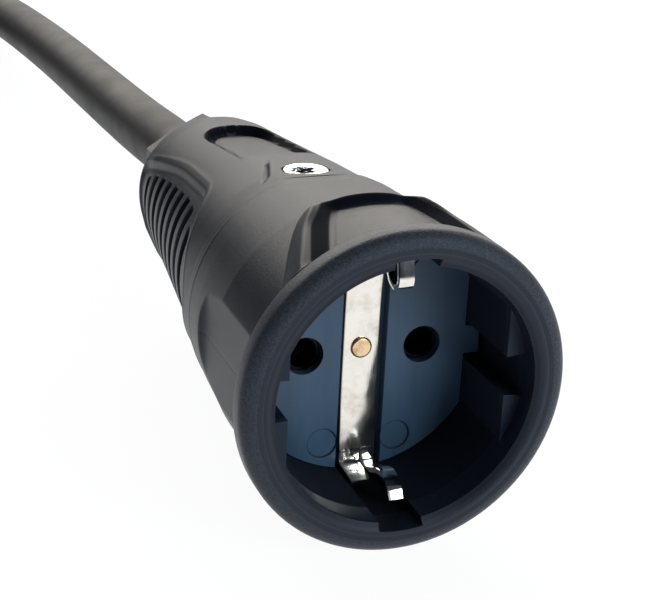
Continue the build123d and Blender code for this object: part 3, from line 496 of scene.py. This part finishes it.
def rear_rings():
    """Rings of the rear shell, from the seam back to the gland and in through the hollow."""
    rings = [("plain", HOLLOW_R, 0.05), ("cover", 0.9, 0.05)]
    rings += [("cover", 0.3, 0.1), ("cover", 0.08, 0.25)]
    rings += [("cover", 0.0, along) for along in steps(0.45, REAR_LEN - 0.5, REAR_STEP)]
    rings += [("cover", 0.15, REAR_LEN - 0.2), ("cover", 0.5, REAR_LEN)]
    rings += [("plain", GLAND_BORE_R, REAR_LEN), ("plain", GLAND_BORE_R, 50.0)]
    return rings + [("plain", 12.0, 44.0), ("plain", 15.2, 15.0), ("plain", HOLLOW_R, 13.2)]


def place_behind_seam(rings):
    """The same rings with their depth counted from the mouth."""
    return [(kind, size, along + SEAM_AT) for kind, size, along in rings]


rear_skin = skin_of_rings(
    "rear_skin",
    place_behind_seam(rear_rings()),
    REAR_SPOKES,
    lambda kind, sink, depth, angle: cover_radius(kind, sink, depth - SEAM_AT, angle),
)
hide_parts("rear_shell")

# %% [markdown]
# ## Earth strap
#
# One strip of sprung metal is riveted to the insert. At each end it splits into a straight
# leg and a bent arm that presses on the plug's side contact. A flat path given thickness
# follows such bends best; a Solidify modifier on a folded sheet would do the same, but its
# corners thin out. The strip gets a fine bevel, because stamped metal catches light there.

# %% Earth strap
STRAP_T, STRAP_HALF_W, ARM_W, LEG_W = 0.8, 2.85, 2.3, 3.2
STRAP_MIDDLE, STRAP_REACH = 19.6, 19.3
STRAP_BOW = 0.75         # the strip's ends spring this far towards the mouth
STRAP_BEVEL = 0.12
ROOT_LEN = 2.6           # the part of an arm or a leg that lies in the bar
BAR_FLAT = 8             # half the bar's flat middle
LIE_APART = 0.02         # keeps the faces of bar and arms from coinciding
ARM_LOW = [(0.0, 16.1), (1.9, 12.0), (2.3, 10.3), (1.9, 8.7), (1.0, 7.3), (-0.4, 6.5)]
ARM_HIGH = [(0.0, 15.4), (3.9, 12.6), (5.5, 11.3), (6.0, 9.6)]
ARM_HIGH += [(5.3, 8.2), (4.3, 7.9), (2.0, 8.4), (-0.2, 8.8)]
LEG = [(-0.4, 13.0)]


def smoothed(points, times=3):
    """Open path with its inner corners cut round."""
    path = [np.array(point, float) for point in points]
    for _ in range(times):
        cut = [path[0]]
        for a, b in zip(path, path[1:]):
            cut += [0.87 * a + 0.13 * b, 0.13 * a + 0.87 * b]
        path = cut + [path[-1]]
    return path


def bent_strip(path, left, right, thick, flip=1.0):
    """Points and faces of a strip between two x places along a path of height and depth."""
    path = np.array(path)
    run = np.gradient(path, axis=0)
    side = np.stack([-run[:, 1], run[:, 0]], axis=1)
    side = side / np.linalg.norm(side, axis=1)[:, None] * thick / 2
    verts = []
    for x, offset in ((left, side), (right, side), (right, -side), (left, -side)):
        height, depth = (path + offset).T
        place = [np.full(len(path), x), MOUTH_AT + depth, AXIS_HEIGHT + flip * height]
        verts.append(np.stack(place, axis=1))
    count = len(path)
    faces = []
    for i in range(count - 1):
        for k in range(4):
            here, following = k * count + i, (k + 1) % 4 * count + i
            faces.append((here, here + 1, following + 1, following))
    faces.append(tuple(k * count for k in range(4)))
    faces.append(tuple(k * count + count - 1 for k in range(4)))
    return np.concatenate(verts), faces


HARD_EDGE = 50.0         # degrees between two faces from which their edge is bevelled


def joined(name, pieces, bevel, sharp=35.0):
    """One object from several closed pieces, with a fine bevel along every hard edge."""
    verts, faces = [], []
    for piece_verts, piece_faces in pieces:
        start = sum(len(v) for v in verts)
        verts.append(piece_verts)
        faces += [tuple(start + i for i in face) for face in piece_faces]
    obj = mesh_object(name, np.concatenate(verts), faces, sharp)
    mesh = bmesh.new()
    mesh.from_mesh(obj.data)
    least = math.radians(HARD_EDGE)
    hard = [e for e in mesh.edges if e.is_manifold and e.calc_face_angle(0) > least]
    bmesh.ops.bevel(
        mesh,
        geom=hard,
        offset=bevel * MM,
        segments=2,
        profile=0.6,
        affect="EDGES",
        clamp_overlap=True,
    )
    bmesh.ops.recalc_face_normals(mesh, faces=mesh.faces)
    mesh.to_mesh(obj.data)
    mesh.free()
    obj.data.polygons.foreach_set("use_smooth", [True] * len(obj.data.polygons))
    obj.data.set_sharp_from_angle(angle=math.radians(sharp))
    print(name, len(obj.data.polygons), "faces")
    return obj


def strap_pieces():
    """Bar, arms and legs of the strap."""
    foot = STRAP_MIDDLE - STRAP_BOW
    root = [(STRAP_REACH - ROOT_LEN, foot + LIE_APART), (STRAP_REACH, foot + LIE_APART)]
    half_bar = [(STRAP_REACH - 2, foot), (BAR_FLAT, STRAP_MIDDLE)]
    bar = half_bar + [(-height, depth) for height, depth in reversed(half_bar)]
    pieces = [bent_strip(smoothed(bar), -STRAP_HALF_W, STRAP_HALF_W, STRAP_T)]
    for flip, shape in ((1.0, ARM_HIGH), (-1.0, ARM_LOW)):
        arm = [(STRAP_REACH - inward, depth) for inward, depth in shape]
        leg = [(STRAP_REACH - inward, depth) for inward, depth in LEG]
        arm_sides = (STRAP_HALF_W - ARM_W, STRAP_HALF_W)
        leg_sides = (-STRAP_HALF_W, LEG_W - STRAP_HALF_W)
        pieces.append(bent_strip(smoothed(root + arm), *arm_sides, STRAP_T, flip))
        pieces.append(bent_strip(smoothed(root + leg), *leg_sides, STRAP_T, flip))
    return pieces


bent_strap = joined("bent_strap", strap_pieces(), STRAP_BEVEL)
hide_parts("earth_strap")

# %% [markdown]
# ## Shader maths and finishes
#
# Moulded plastic, plated metal and rubber each vary a little over their surface, and that
# variation is worked out by nodes. Dragging wires by hand would hide the sums, so Wire lets
# Python's own arithmetic add the Math nodes, and Finish holds one material whose constants
# are set on its Principled shader.

# %% A class for shader maths, and one for a finish


class Wire:
    """One output in a node tree. Python's own arithmetic on it adds Math nodes."""

    def __init__(self, tree, socket):
        self.tree = tree
        self.socket = socket

    def maths(self, operation, *values):
        """Math node on the given values, of which this wire is one only if it is named."""
        node = self.tree.nodes.new("ShaderNodeMath")
        node.operation = operation
        for slot, value in zip(node.inputs, values):
            if isinstance(value, Wire):
                self.tree.links.new(value.socket, slot)
            else:
                slot.default_value = value
        return Wire(self.tree, node.outputs[0])

    def __add__(self, other):
        return self.maths("ADD", self, other)

    def __sub__(self, other):
        return self.maths("SUBTRACT", self, other)

    def __rsub__(self, other):
        return self.maths("SUBTRACT", other, self)

    def __mul__(self, other):
        return self.maths("MULTIPLY", self, other)

    def __pow__(self, other):
        return self.maths("POWER", self, other)

    def at_least(self, low):
        return self.maths("MAXIMUM", self, low)

    def size(self):
        """The value without its sign."""
        return self.maths("ABSOLUTE", self)

    def step(self, low, high, at_low=0.0, at_high=1.0):
        """Smooth step from one value to another while this one goes from low to high."""
        node = self.tree.nodes.new("ShaderNodeMapRange")
        node.interpolation_type = "SMOOTHSTEP"
        self.tree.links.new(self.socket, node.inputs["Value"])
        numbers = {"From Min": low, "From Max": high, "To Min": at_low, "To Max": at_high}
        for name, value in numbers.items():
            node.inputs[name].default_value = value
        return Wire(self.tree, node.outputs["Result"])


class Finish:
    """A material made of one Principled shader, with its constants set on the shader."""

    def __init__(self, name, color, **constants):
        self.material = bpy.data.materials.new(name)
        self.material.use_nodes = True
        self.tree = self.material.node_tree
        self.shader = self.tree.nodes["Principled BSDF"]
        self.shader.inputs["Base Color"].default_value = (*color, 1)
        self.material.diffuse_color = (*color, 1)
        for key, value in constants.items():
            self.shader.inputs[key.replace("_", " ")].default_value = value

    def node(self, kind, settings=None, out=0, **values):
        """Add any node: its settings first, then a value or a wire for each socket."""
        node = self.tree.nodes.new(kind)
        for key, value in (settings or {}).items():
            setattr(node, key, value)
        for key, value in values.items():
            numbered = key[0] == "i" and key[1:].isdigit()
            socket = node.inputs[int(key[1:])] if numbered else node.inputs[key]
            if isinstance(value, Wire):
                self.tree.links.new(value.socket, socket)
            else:
                socket.default_value = value
        return Wire(self.tree, node.outputs[out])

    def place(self):
        return self.node("ShaderNodeTexCoord", out="Object")

    def noise(self, scale, detail=3.0, rough=0.5, where=None):
        """Noise on the object's own coordinates, with its scale in turns a metre."""
        place = where or self.place()
        values = {"Vector": place, "Scale": scale, "Detail": detail, "Roughness": rough}
        return self.node("ShaderNodeTexNoise", **values)

    def blend(self, share, first, second):
        """Colour between two colours or colour wires: the second one where the share is 1."""
        first = first if isinstance(first, Wire) else (*first, 1)
        second = second if isinstance(second, Wire) else (*second, 1)
        settings = {"data_type": "RGBA"}
        return self.node("ShaderNodeMix", settings, out=2, Factor=share, i6=first, i7=second)

    def set(self, name, wire):
        self.tree.links.new(wire.socket, self.shader.inputs[name])

    def bump(self, height, depth, strength):
        """Bump of a real depth in metres."""
        values = {"Strength": strength, "Distance": depth, "Height": height}
        self.set("Normal", self.node("ShaderNodeBump", **values))

    def on(self, *pieces):
        for piece in pieces:
            data = nodes[piece].data if isinstance(piece, str) else piece.data
            data.materials.clear()
            data.materials.append(self.material)


# %% [markdown]
# ## Floor and light
#
# The photograph has a white ground and one large soft light behind and above the socket,
# which draws the bright band along its top. A lamp that strong on the floor would burn out
# its colours, so the floor and the sky are white only to rays from the camera and to
# reflections, and the lamps stay plain.

# %% White ground and sky
GROUND_HALF = 4.0
GROUND_SHADE = (0.70, 0.72, 0.76)
GROUND_GLOW, WHITE_STRENGTH = 0.80, 1.18
SKY_REST = 0.09          # light that comes from every side
SKY_COLD, SKY_WARM = (0.62, 0.78, 1.0, 1), (1.0, 0.96, 0.90, 1)


def white_to_camera(name, shade, glow):
    """Material that is pale under the lamps, and nearly white to the camera and in gloss."""
    finish = Finish(name, shade, Roughness=1.0, Specular_IOR_Level=0.0)
    tree = finish.tree
    path = tree.nodes.new("ShaderNodeLightPath")
    seen = Wire(tree, path.outputs["Is Camera Ray"])
    mirrored = Wire(tree, path.outputs["Is Glossy Ray"])
    through = Wire(tree, path.outputs["Is Transmission Ray"])
    white = tree.nodes.new("ShaderNodeEmission")
    white.inputs["Strength"].default_value = WHITE_STRENGTH
    mix = tree.nodes.new("ShaderNodeMixShader")
    share = (seen * glow).at_least(mirrored * glow).at_least(through * glow)
    tree.links.new(share.socket, mix.inputs["Fac"])
    tree.links.new(finish.shader.outputs[0], mix.inputs[1])
    tree.links.new(white.outputs[0], mix.inputs[2])
    output = tree.nodes["Material Output"]
    tree.links.new(mix.outputs[0], output.inputs["Surface"])
    return finish


def flat_sheet(name, half):
    """Square sheet of floor, finely enough cut for soft light to bake well."""
    mesh = bmesh.new()
    bmesh.ops.create_grid(mesh, x_segments=8, y_segments=8, size=half)
    data = bpy.data.meshes.new(name)
    mesh.to_mesh(data)
    mesh.free()
    obj = bpy.data.objects.new(name, data)
    scene.collection.objects.link(obj)
    return obj


ground = flat_sheet("ground", GROUND_HALF)
white_to_camera("white_ground", GROUND_SHADE, GROUND_GLOW).on(ground)

world = bpy.data.worlds.new("studio")
scene.world = world
world.use_nodes = True
sky = world.node_tree
sky.nodes.clear()
direction = Wire(sky, sky.nodes.new("ShaderNodeTexCoord").outputs["Generated"])
parts_of = sky.nodes.new("ShaderNodeSeparateXYZ")
sky.links.new(direction.socket, parts_of.inputs[0])
back = Wire(sky, parts_of.outputs["Y"])
side = Wire(sky, parts_of.outputs["X"])
above = Wire(sky, parts_of.outputs["Z"])
low_band = (above + side * 0.4).step(0.0, 0.34) * above.step(0.6, 0.95, 1.0, 0.15)
towards = low_band * (back * 0.85 + side * 0.3).step(-0.3, 0.75) * 0.92 + SKY_REST
seen = Wire(sky, sky.nodes.new("ShaderNodeLightPath").outputs["Is Camera Ray"])
strength = (towards * 0.85).at_least(seen)
background = sky.nodes.new("ShaderNodeBackground")
tint = sky.nodes.new("ShaderNodeMix")
tint.data_type = "RGBA"
sky.links.new(towards.socket, tint.inputs[0])
tint.inputs[6].default_value = SKY_COLD
tint.inputs[7].default_value = SKY_WARM
white_sky = sky.nodes.new("ShaderNodeMix")
white_sky.data_type = "RGBA"
sky.links.new(seen.socket, white_sky.inputs[0])
sky.links.new(tint.outputs[2], white_sky.inputs[6])
white_sky.inputs[7].default_value = (1, 1, 1, 1)
sky.links.new(white_sky.outputs[2], background.inputs["Color"])
sky.links.new(strength.socket, background.inputs["Strength"])
sky_out = sky.nodes.new("ShaderNodeOutputWorld")
sky.links.new(background.outputs[0], sky_out.inputs["Surface"])


LAMP_AIM = (0, 0, 0.03)


def soft_box(name, place, size, power, tint):
    """Area lamp that looks at the mouth of the socket."""
    data = bpy.data.lights.new(name, "AREA")
    data.shape = "RECTANGLE"
    data.size, data.size_y = size
    data.energy = power
    data.color = tint
    lamp = bpy.data.objects.new(name, data)
    look = (Vector(LAMP_AIM) - Vector(place)).to_track_quat("-Z", "Y")
    lamp.matrix_world = Matrix.Translation(place) @ look.to_matrix().to_4x4()
    scene.collection.objects.link(lamp)


soft_box("light_behind", (0.16, 0.95, 0.55), (1.2, 0.5), 7.5, (1.0, 0.93, 0.84))
soft_box("light_front_right", (0.45, -0.85, 0.38), (0.5, 0.5), 4.0, (0.86, 0.93, 1.0))

# %% [markdown]
# ## Finishes
#
# Every finish is one Principled shader fed by maths on the object's own coordinates, so
# nothing slides when a piece moves. Lengths inside the shaders are in millimetres from the
# socket's axis and mouth, the same numbers as in the skins above.

# %% Helpers for the finishes
def about_axis(finish):
    """Wires of x, depth and height in millimetres, and the distance from the axis."""
    split = finish.tree.nodes.new("ShaderNodeSeparateXYZ")
    finish.tree.links.new(finish.place().socket, split.inputs[0])
    x, y, z = [Wire(finish.tree, output) * 1000.0 for output in split.outputs]
    depth = y - MOUTH_AT
    height = z - AXIS_HEIGHT
    return x, depth, height, (x * x + height * height) ** 0.5


def line_at(value, place, half_width):
    """1 on a fine line where a value passes a place, and 0 beside it."""
    return (value - place).size().step(0.0, half_width, 1.0, 0.0)


def specks(finish, scale, size, share):
    """Sparse bright specks, such as dust on a moulded surface."""
    settings = {"feature": "F1"}
    cells = finish.node("ShaderNodeTexVoronoi", settings, Vector=finish.place(), Scale=scale)
    patch = finish.noise(scale / 9, 2.0)
    return cells.step(size * 0.4, size, 1.0, 0.0) * patch.step(1 - share, 1.05 - share)


# %% [markdown]
# ### Black moulded plastic
#
# The mould was eroded to a fine sand texture, which turns the plastic satin and grey where
# light grazes it. Two sizes of noise make the sand, a slow one varies the tone as hands
# do, and a few specks of dust catch the light. On the front shell, fine pale lines are painted
# on: highlights along the flange's rear edge and the mouth's ring groove, and a short tick on
# the rim. The walls of hollows see little light, so their attribute gives them painted shade
# and makes them duller.

# %% Black plastic
BLACK = (0.0050, 0.0075, 0.0145)
BLACK_WORN = (0.0095, 0.0125, 0.0205)
SHEEN = {"Specular_IOR_Level": 0.29, "Specular_Tint": (0.76, 0.86, 1.0, 1)}
SATIN, DULL = 0.40, 0.95     # roughness of the skin, and of the walls of its hollows


def sand_black(name):
    """Sand-textured black plastic, with its bump left open for more lines."""
    finish = Finish(name, BLACK, **SHEEN)
    wear = finish.noise(55, 4.0, 0.6)
    tone = finish.blend(wear.step(0.35, 0.75), BLACK, BLACK_WORN)
    dust = specks(finish, 700, 0.16, 0.36)
    tone = finish.blend(dust * 0.55, tone, (0.16, 0.16, 0.165))
    sand = finish.noise(4300, 2.0, 0.6) * 0.8 + finish.noise(1900, 3.0, 0.6) * 0.2
    tone = finish.blend(sand.step(0.52, 0.66) * 0.4, tone, (0.017, 0.022, 0.034))
    # Painted shade: the walls of hollows get a darker colour, and a duller surface.
    wall = finish.node("ShaderNodeAttribute", {"attribute_name": "wall"}, out=2)
    tone = finish.blend(wall * 0.85, tone, (0.0022, 0.0035, 0.0075))
    finish.set("Roughness", (wall * DULL).at_least(SATIN))
    return finish, tone, sand


rear_black, tone, sand = sand_black("black_rear")
rear_black.set("Base Color", tone)
rear_black.bump(sand, 0.00009, 0.7)
rear_black.on(rear_skin, "plug_shell", "gland_nut", "plug_gland_nut")

RING_HIGHLIGHT_R, TICK_X, EDGE_HIGHLIGHT_AT = 21.9, 10.35, 4.3

front_black, tone, sand = sand_black("black_front")
x, depth, height, reach = about_axis(front_black)
on_face = depth.step(0.1, 0.4, 1.0, 0.0)
# Painted sheen: the rim's sand band is made paler, broken up by the sand grain.
band = (reach - 22.4).step(0.0, 0.5) * depth.step(3.8, 4.3, 1.0, 0.0)
# Painted highlight: a pale line on the ring groove of the mouth's face.
ring_highlight = line_at(reach, RING_HIGHLIGHT_R, 0.16) * on_face
tick = line_at(x, TICK_X, 0.12) * height.step(19.0, 20.0)
tick = tick * (reach - 22.7).step(0.0, 0.2) * depth.step(1.2, 2.0, 1.0, 0.0)
# Painted highlight: a pale line along the flange's rear edge.
edge = line_at(depth, EDGE_HIGHLIGHT_AT, 0.22) * (reach - 24.2).step(0.0, 0.3)
# Painted light: the wall of the bore is made paler.
inside = (reach - 19.95).step(-0.3, 0.2, 1.0, 0.0) * depth.step(0.3, 0.8)
tone = front_black.blend(edge * 0.75, tone, (0.10, 0.10, 0.11))
tone = front_black.blend(ring_highlight * 0.8, tone, (0.17, 0.18, 0.20))
tone = front_black.blend(tick * 0.6, tone, (0.17, 0.18, 0.19))
tone = front_black.blend(inside * 0.8, tone, (0.022, 0.031, 0.050))
grain = sand.step(0.38, 0.66)
tone = front_black.blend(band * (grain * 0.5 + 0.45), tone, (0.080, 0.088, 0.108))
# Painted light: the mouth's ring face is made paler.
ring_face_light = (reach - 19.9).step(0.0, 0.3) * on_face * (1.0 - band)
tone = front_black.blend(ring_face_light * 0.8, tone, (0.036, 0.042, 0.056))
front_black.set("Base Color", tone)
front_black.bump(sand * (band * 0.6 + 0.8) * (1.0 - inside * 0.8), 0.0001, 0.75)
front_black.on(front_skin)

# %% [markdown]
# ### Slate-blue insert
#
# The insert is a harder plastic with a faint blue cast and a smooth satin face. Long soft
# streaks follow the way the melt ran, and the round marks of two ejector pins are sunk a
# few hundredths of a millimetre into the face near its foot. Painted shade darkens the
# insides of the two line holes.

# %% Slate insert
EJECTOR_X, EJECTOR_DOWN, EJECTOR_R = 6.0, 15.0, 2.4
HOLE_X = 9.5             # half the pitch of the line holes

slate = Finish("slate_plastic", (0.028, 0.052, 0.085))
x, depth, height, _ = about_axis(slate)
flow = slate.node("ShaderNodeMapping", Vector=slate.place(), Scale=(1.0, 1.0, 0.18))
cloud = slate.noise(150, 4.0, 0.6, flow)
tone = slate.blend(cloud.step(0.3, 0.7), (0.056, 0.120, 0.198), (0.088, 0.172, 0.272))
side = x.size()
pin_x = side - EJECTOR_X
pin_z = height + EJECTOR_DOWN
ejector = (pin_x * pin_x + pin_z * pin_z) ** 0.5
ejector_ring = line_at(ejector, EJECTOR_R, 0.22)
ejector_ring = ejector_ring * depth.step(17.2, 17.6) * depth.step(18.8, 19.2, 1.0, 0.0)
hole_x = side - HOLE_X
hole = (hole_x * hole_x + height * height) ** 0.5
# Painted shade: the insides of the two line holes are darkened.
hole_shade = hole.step(2.9, 3.1, 1.0, 0.0)
tone = slate.blend(ejector_ring * 0.6, tone, (0.010, 0.018, 0.030))
tone = slate.blend(hole_shade * 0.9, tone, (0.004, 0.005, 0.008))
slate.set("Base Color", tone)
slate.set("Roughness", cloud.step(0.2, 0.8, 0.30, 0.44))
slate.bump(slate.noise(1900, 3.0) * 0.5 - ejector_ring, 0.00006, 0.5)
slate.on("contact_carrier", "plug_face")

# %% [markdown]
# ### Nickel on the strap and the pins
#
# Nickel plate is warmer than steel. On a stamped strip it keeps the rolling marks along
# the strip and faint stains from handling, and it is darker along the side edges of its bar.
# The upper hook sits in the shade of the rim, so its front is darkened as well.

# %% Nickel
nickel = Finish("nickel_plate", (0.82, 0.80, 0.74), Metallic=1.0)
x, depth, height, _ = about_axis(nickel)
rolled = nickel.node("ShaderNodeMapping", Vector=nickel.place(), Scale=(1.0, 1.0, 0.06))
marks = nickel.noise(2600, 3.0, 0.6, rolled)
stain = nickel.noise(240, 4.0, 0.65)
tone = nickel.blend(stain.step(0.45, 0.75), (0.87, 0.85, 0.79), (0.70, 0.65, 0.56))
darker_side_edges = x.size().step(2.62, 2.85) * depth.step(18.5, 19.0)
tone = nickel.blend(darker_side_edges * 0.75, tone, (0.20, 0.15, 0.10))
# Painted shade on the front of the upper hook.
hook_shade = height.step(15.1, 15.7) * depth.step(9.4, 10.2, 1.0, 0.0)
tone = nickel.blend(hook_shade * 0.9, tone, (0.05, 0.06, 0.08))
nickel.set("Base Color", tone)
nickel.set("Roughness", stain.step(0.3, 0.8, 0.11, 0.24))
nickel.bump(marks, 0.00002, 0.35)
nickel.on(bent_strap, "plug_pin_left", "plug_pin_right", "plug_earth_clips")

# %% [markdown]
# ### Rivet, brass and zinc
#
# The rivet is copper that has tanned, the turned parts are brass, and the screws are
# blue-passivated zinc, which is bright, a little blue and slightly uneven. Each one is a
# metal with its own two tones. The front ends of the contacts lie deep in their holes, so
# they get painted shade, and a patch of the housing screw's head gets a painted dark reflection.

# %% Metals
BRASS_PIECES = ["earth_terminal", "line_contact_left", "line_contact_right"]
ZINC_PIECES = ["housing_screw", "terminal_screws", "clamp_screws"]
METALS = [
    ("tanned_rivet", (0.90, 0.66, 0.40), (0.62, 0.40, 0.20), 0.30, ["earth_rivet"]),
    ("turned_brass", (0.78, 0.60, 0.32), (0.56, 0.40, 0.18), 0.28, BRASS_PIECES),
    ("blue_zinc", (0.86, 0.90, 0.94), (0.55, 0.68, 0.84), 0.16, ZINC_PIECES),
]
SCREW_DEPTH, REFLECTION_LEFT = SEAM_AT + SCREW_AT, 0.7

for name, light, dark, rough, pieces in METALS:
    metal = Finish(name, light, Metallic=1.0)
    cloud = metal.noise(650, 4.0, 0.6)
    tone = metal.blend(cloud.step(0.42, 0.68), light, dark)
    grain = cloud.step(0.3, 0.75, rough * 0.8, rough * 1.4)
    if name == "blue_zinc":
        x, depth, height, _ = about_axis(metal)
        # Painted reflection: a dark patch on the housing screw's head, also made rougher.
        gap = depth - SCREW_DEPTH
        left = x + REFLECTION_LEFT
        middle = (left * left + gap * gap) ** 0.5
        patchy = metal.noise(1300, 3.0).step(0.36, 0.50)
        painted_reflection = middle.step(1.3, 2.7, 1.0, 0.0) * patchy * height.step(15.0, 16.0)
        tone = metal.blend(painted_reflection, tone, (0.003, 0.008, 0.016))
        grain = grain + painted_reflection * 0.55
    if name == "turned_brass":
        # Painted shade: the contacts' front ends, deep in their holes, are darkened.
        depth = about_axis(metal)[1]
        tone = metal.blend(depth.step(31.0, 34.0, 1.0, 0.0), tone, (0.012, 0.012, 0.013))
    metal.set("Base Color", tone)
    metal.set("Roughness", grain)
    metal.bump(metal.noise(1600, 3.0), 0.00003, 0.4)
    metal.on(*pieces)

# %% [markdown]
# ### Rubber, grey plastic and core insulation
#
# The sheath is matt rubber with a fine uneven skin, and it picks up pale dust. Noise on the
# object's own coordinates needs no seam along the cord. The clamp is plain grey plastic, the
# cores have smooth coloured insulation, and the coil's tie is woven.

# %% Rubber and insulation
def matt_rubber(name, dark, dusty, rough):
    """Rubber with clouds of dust."""
    finish = Finish(name, dark)
    cloud = finish.noise(90, 5.0, 0.65)
    tone = finish.blend(cloud.step(0.4, 0.8), dark, dusty)
    tone = finish.blend(specks(finish, 620, 0.15, 0.34) * 0.5, tone, (0.14, 0.14, 0.14))
    finish.set("Base Color", tone)
    finish.set("Roughness", cloud.step(0.3, 0.8, rough, rough + 0.12))
    return finish


rubber = matt_rubber("cord_rubber", (0.007, 0.0075, 0.010), (0.013, 0.0135, 0.016), 0.52)
rubber.bump(rubber.noise(1100, 3.0) * 0.6 + rubber.noise(170, 2.0) * 0.4, 0.00009, 0.5)
rubber.on("sheath_end", "plug_sheath", cord_sheath)

seal = matt_rubber("seal_rubber", (0.035, 0.035, 0.036), (0.06, 0.06, 0.06), 0.65)
seal.bump(seal.noise(1500, 2.0), 0.00005, 0.4)
seal.on("seal_bush", "plug_seal_bush")

INSULATION = [
    ("grey_plastic", (0.30, 0.30, 0.31), ["cord_clamp"]),
    ("brown_insulation", (0.23, 0.10, 0.04), ["core_brown"]),
    ("blue_insulation", (0.05, 0.16, 0.45), ["core_blue"]),
]
SMOOTH_ROUGH = 0.42
for name, color, pieces in INSULATION:
    smooth = Finish(name, color, Roughness=SMOOTH_ROUGH)
    cloud = smooth.noise(260, 4.0)
    shaded = tuple(0.72 * part for part in color)
    smooth.set("Base Color", smooth.blend(cloud.step(0.3, 0.8), color, shaded))
    smooth.bump(smooth.noise(1500, 2.0), 0.00004, 0.4)
    smooth.on(*pieces)

earth = Finish("green_yellow_insulation", (0.20, 0.48, 0.10), Roughness=SMOOTH_ROUGH)
x, _, height, _ = about_axis(earth)
across = height * 1.4 + x
stripes = across.maths("SINE", across).step(-0.1, 0.1)
earth.set("Base Color", earth.blend(stripes, (0.16, 0.42, 0.08), (0.80, 0.68, 0.05)))
earth.bump(earth.noise(1500, 2.0), 0.00004, 0.4)
earth.on("core_earth")

webbing = Finish("tie_webbing", (0.02, 0.02, 0.022), Roughness=0.9)
fluff = webbing.noise(900, 5.0, 0.7)
tone = webbing.blend(fluff.step(0.35, 0.75), (0.012, 0.012, 0.014), (0.045, 0.045, 0.048))
webbing.set("Base Color", tone)
settings = {"bands_direction": "DIAGONAL"}
weave = webbing.node("ShaderNodeTexWave", settings, out=1, Vector=webbing.place(), Scale=320)
webbing.bump(weave * 0.7 + fluff * 0.3, 0.00025, 0.7)
webbing.on("coil_tie")
print(len(bpy.data.materials), "finishes")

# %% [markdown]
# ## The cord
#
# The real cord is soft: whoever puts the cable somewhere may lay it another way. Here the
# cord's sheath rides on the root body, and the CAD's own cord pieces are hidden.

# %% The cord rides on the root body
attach(cord_sheath, "root")
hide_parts("cord", "cord_coil", "cord_tail")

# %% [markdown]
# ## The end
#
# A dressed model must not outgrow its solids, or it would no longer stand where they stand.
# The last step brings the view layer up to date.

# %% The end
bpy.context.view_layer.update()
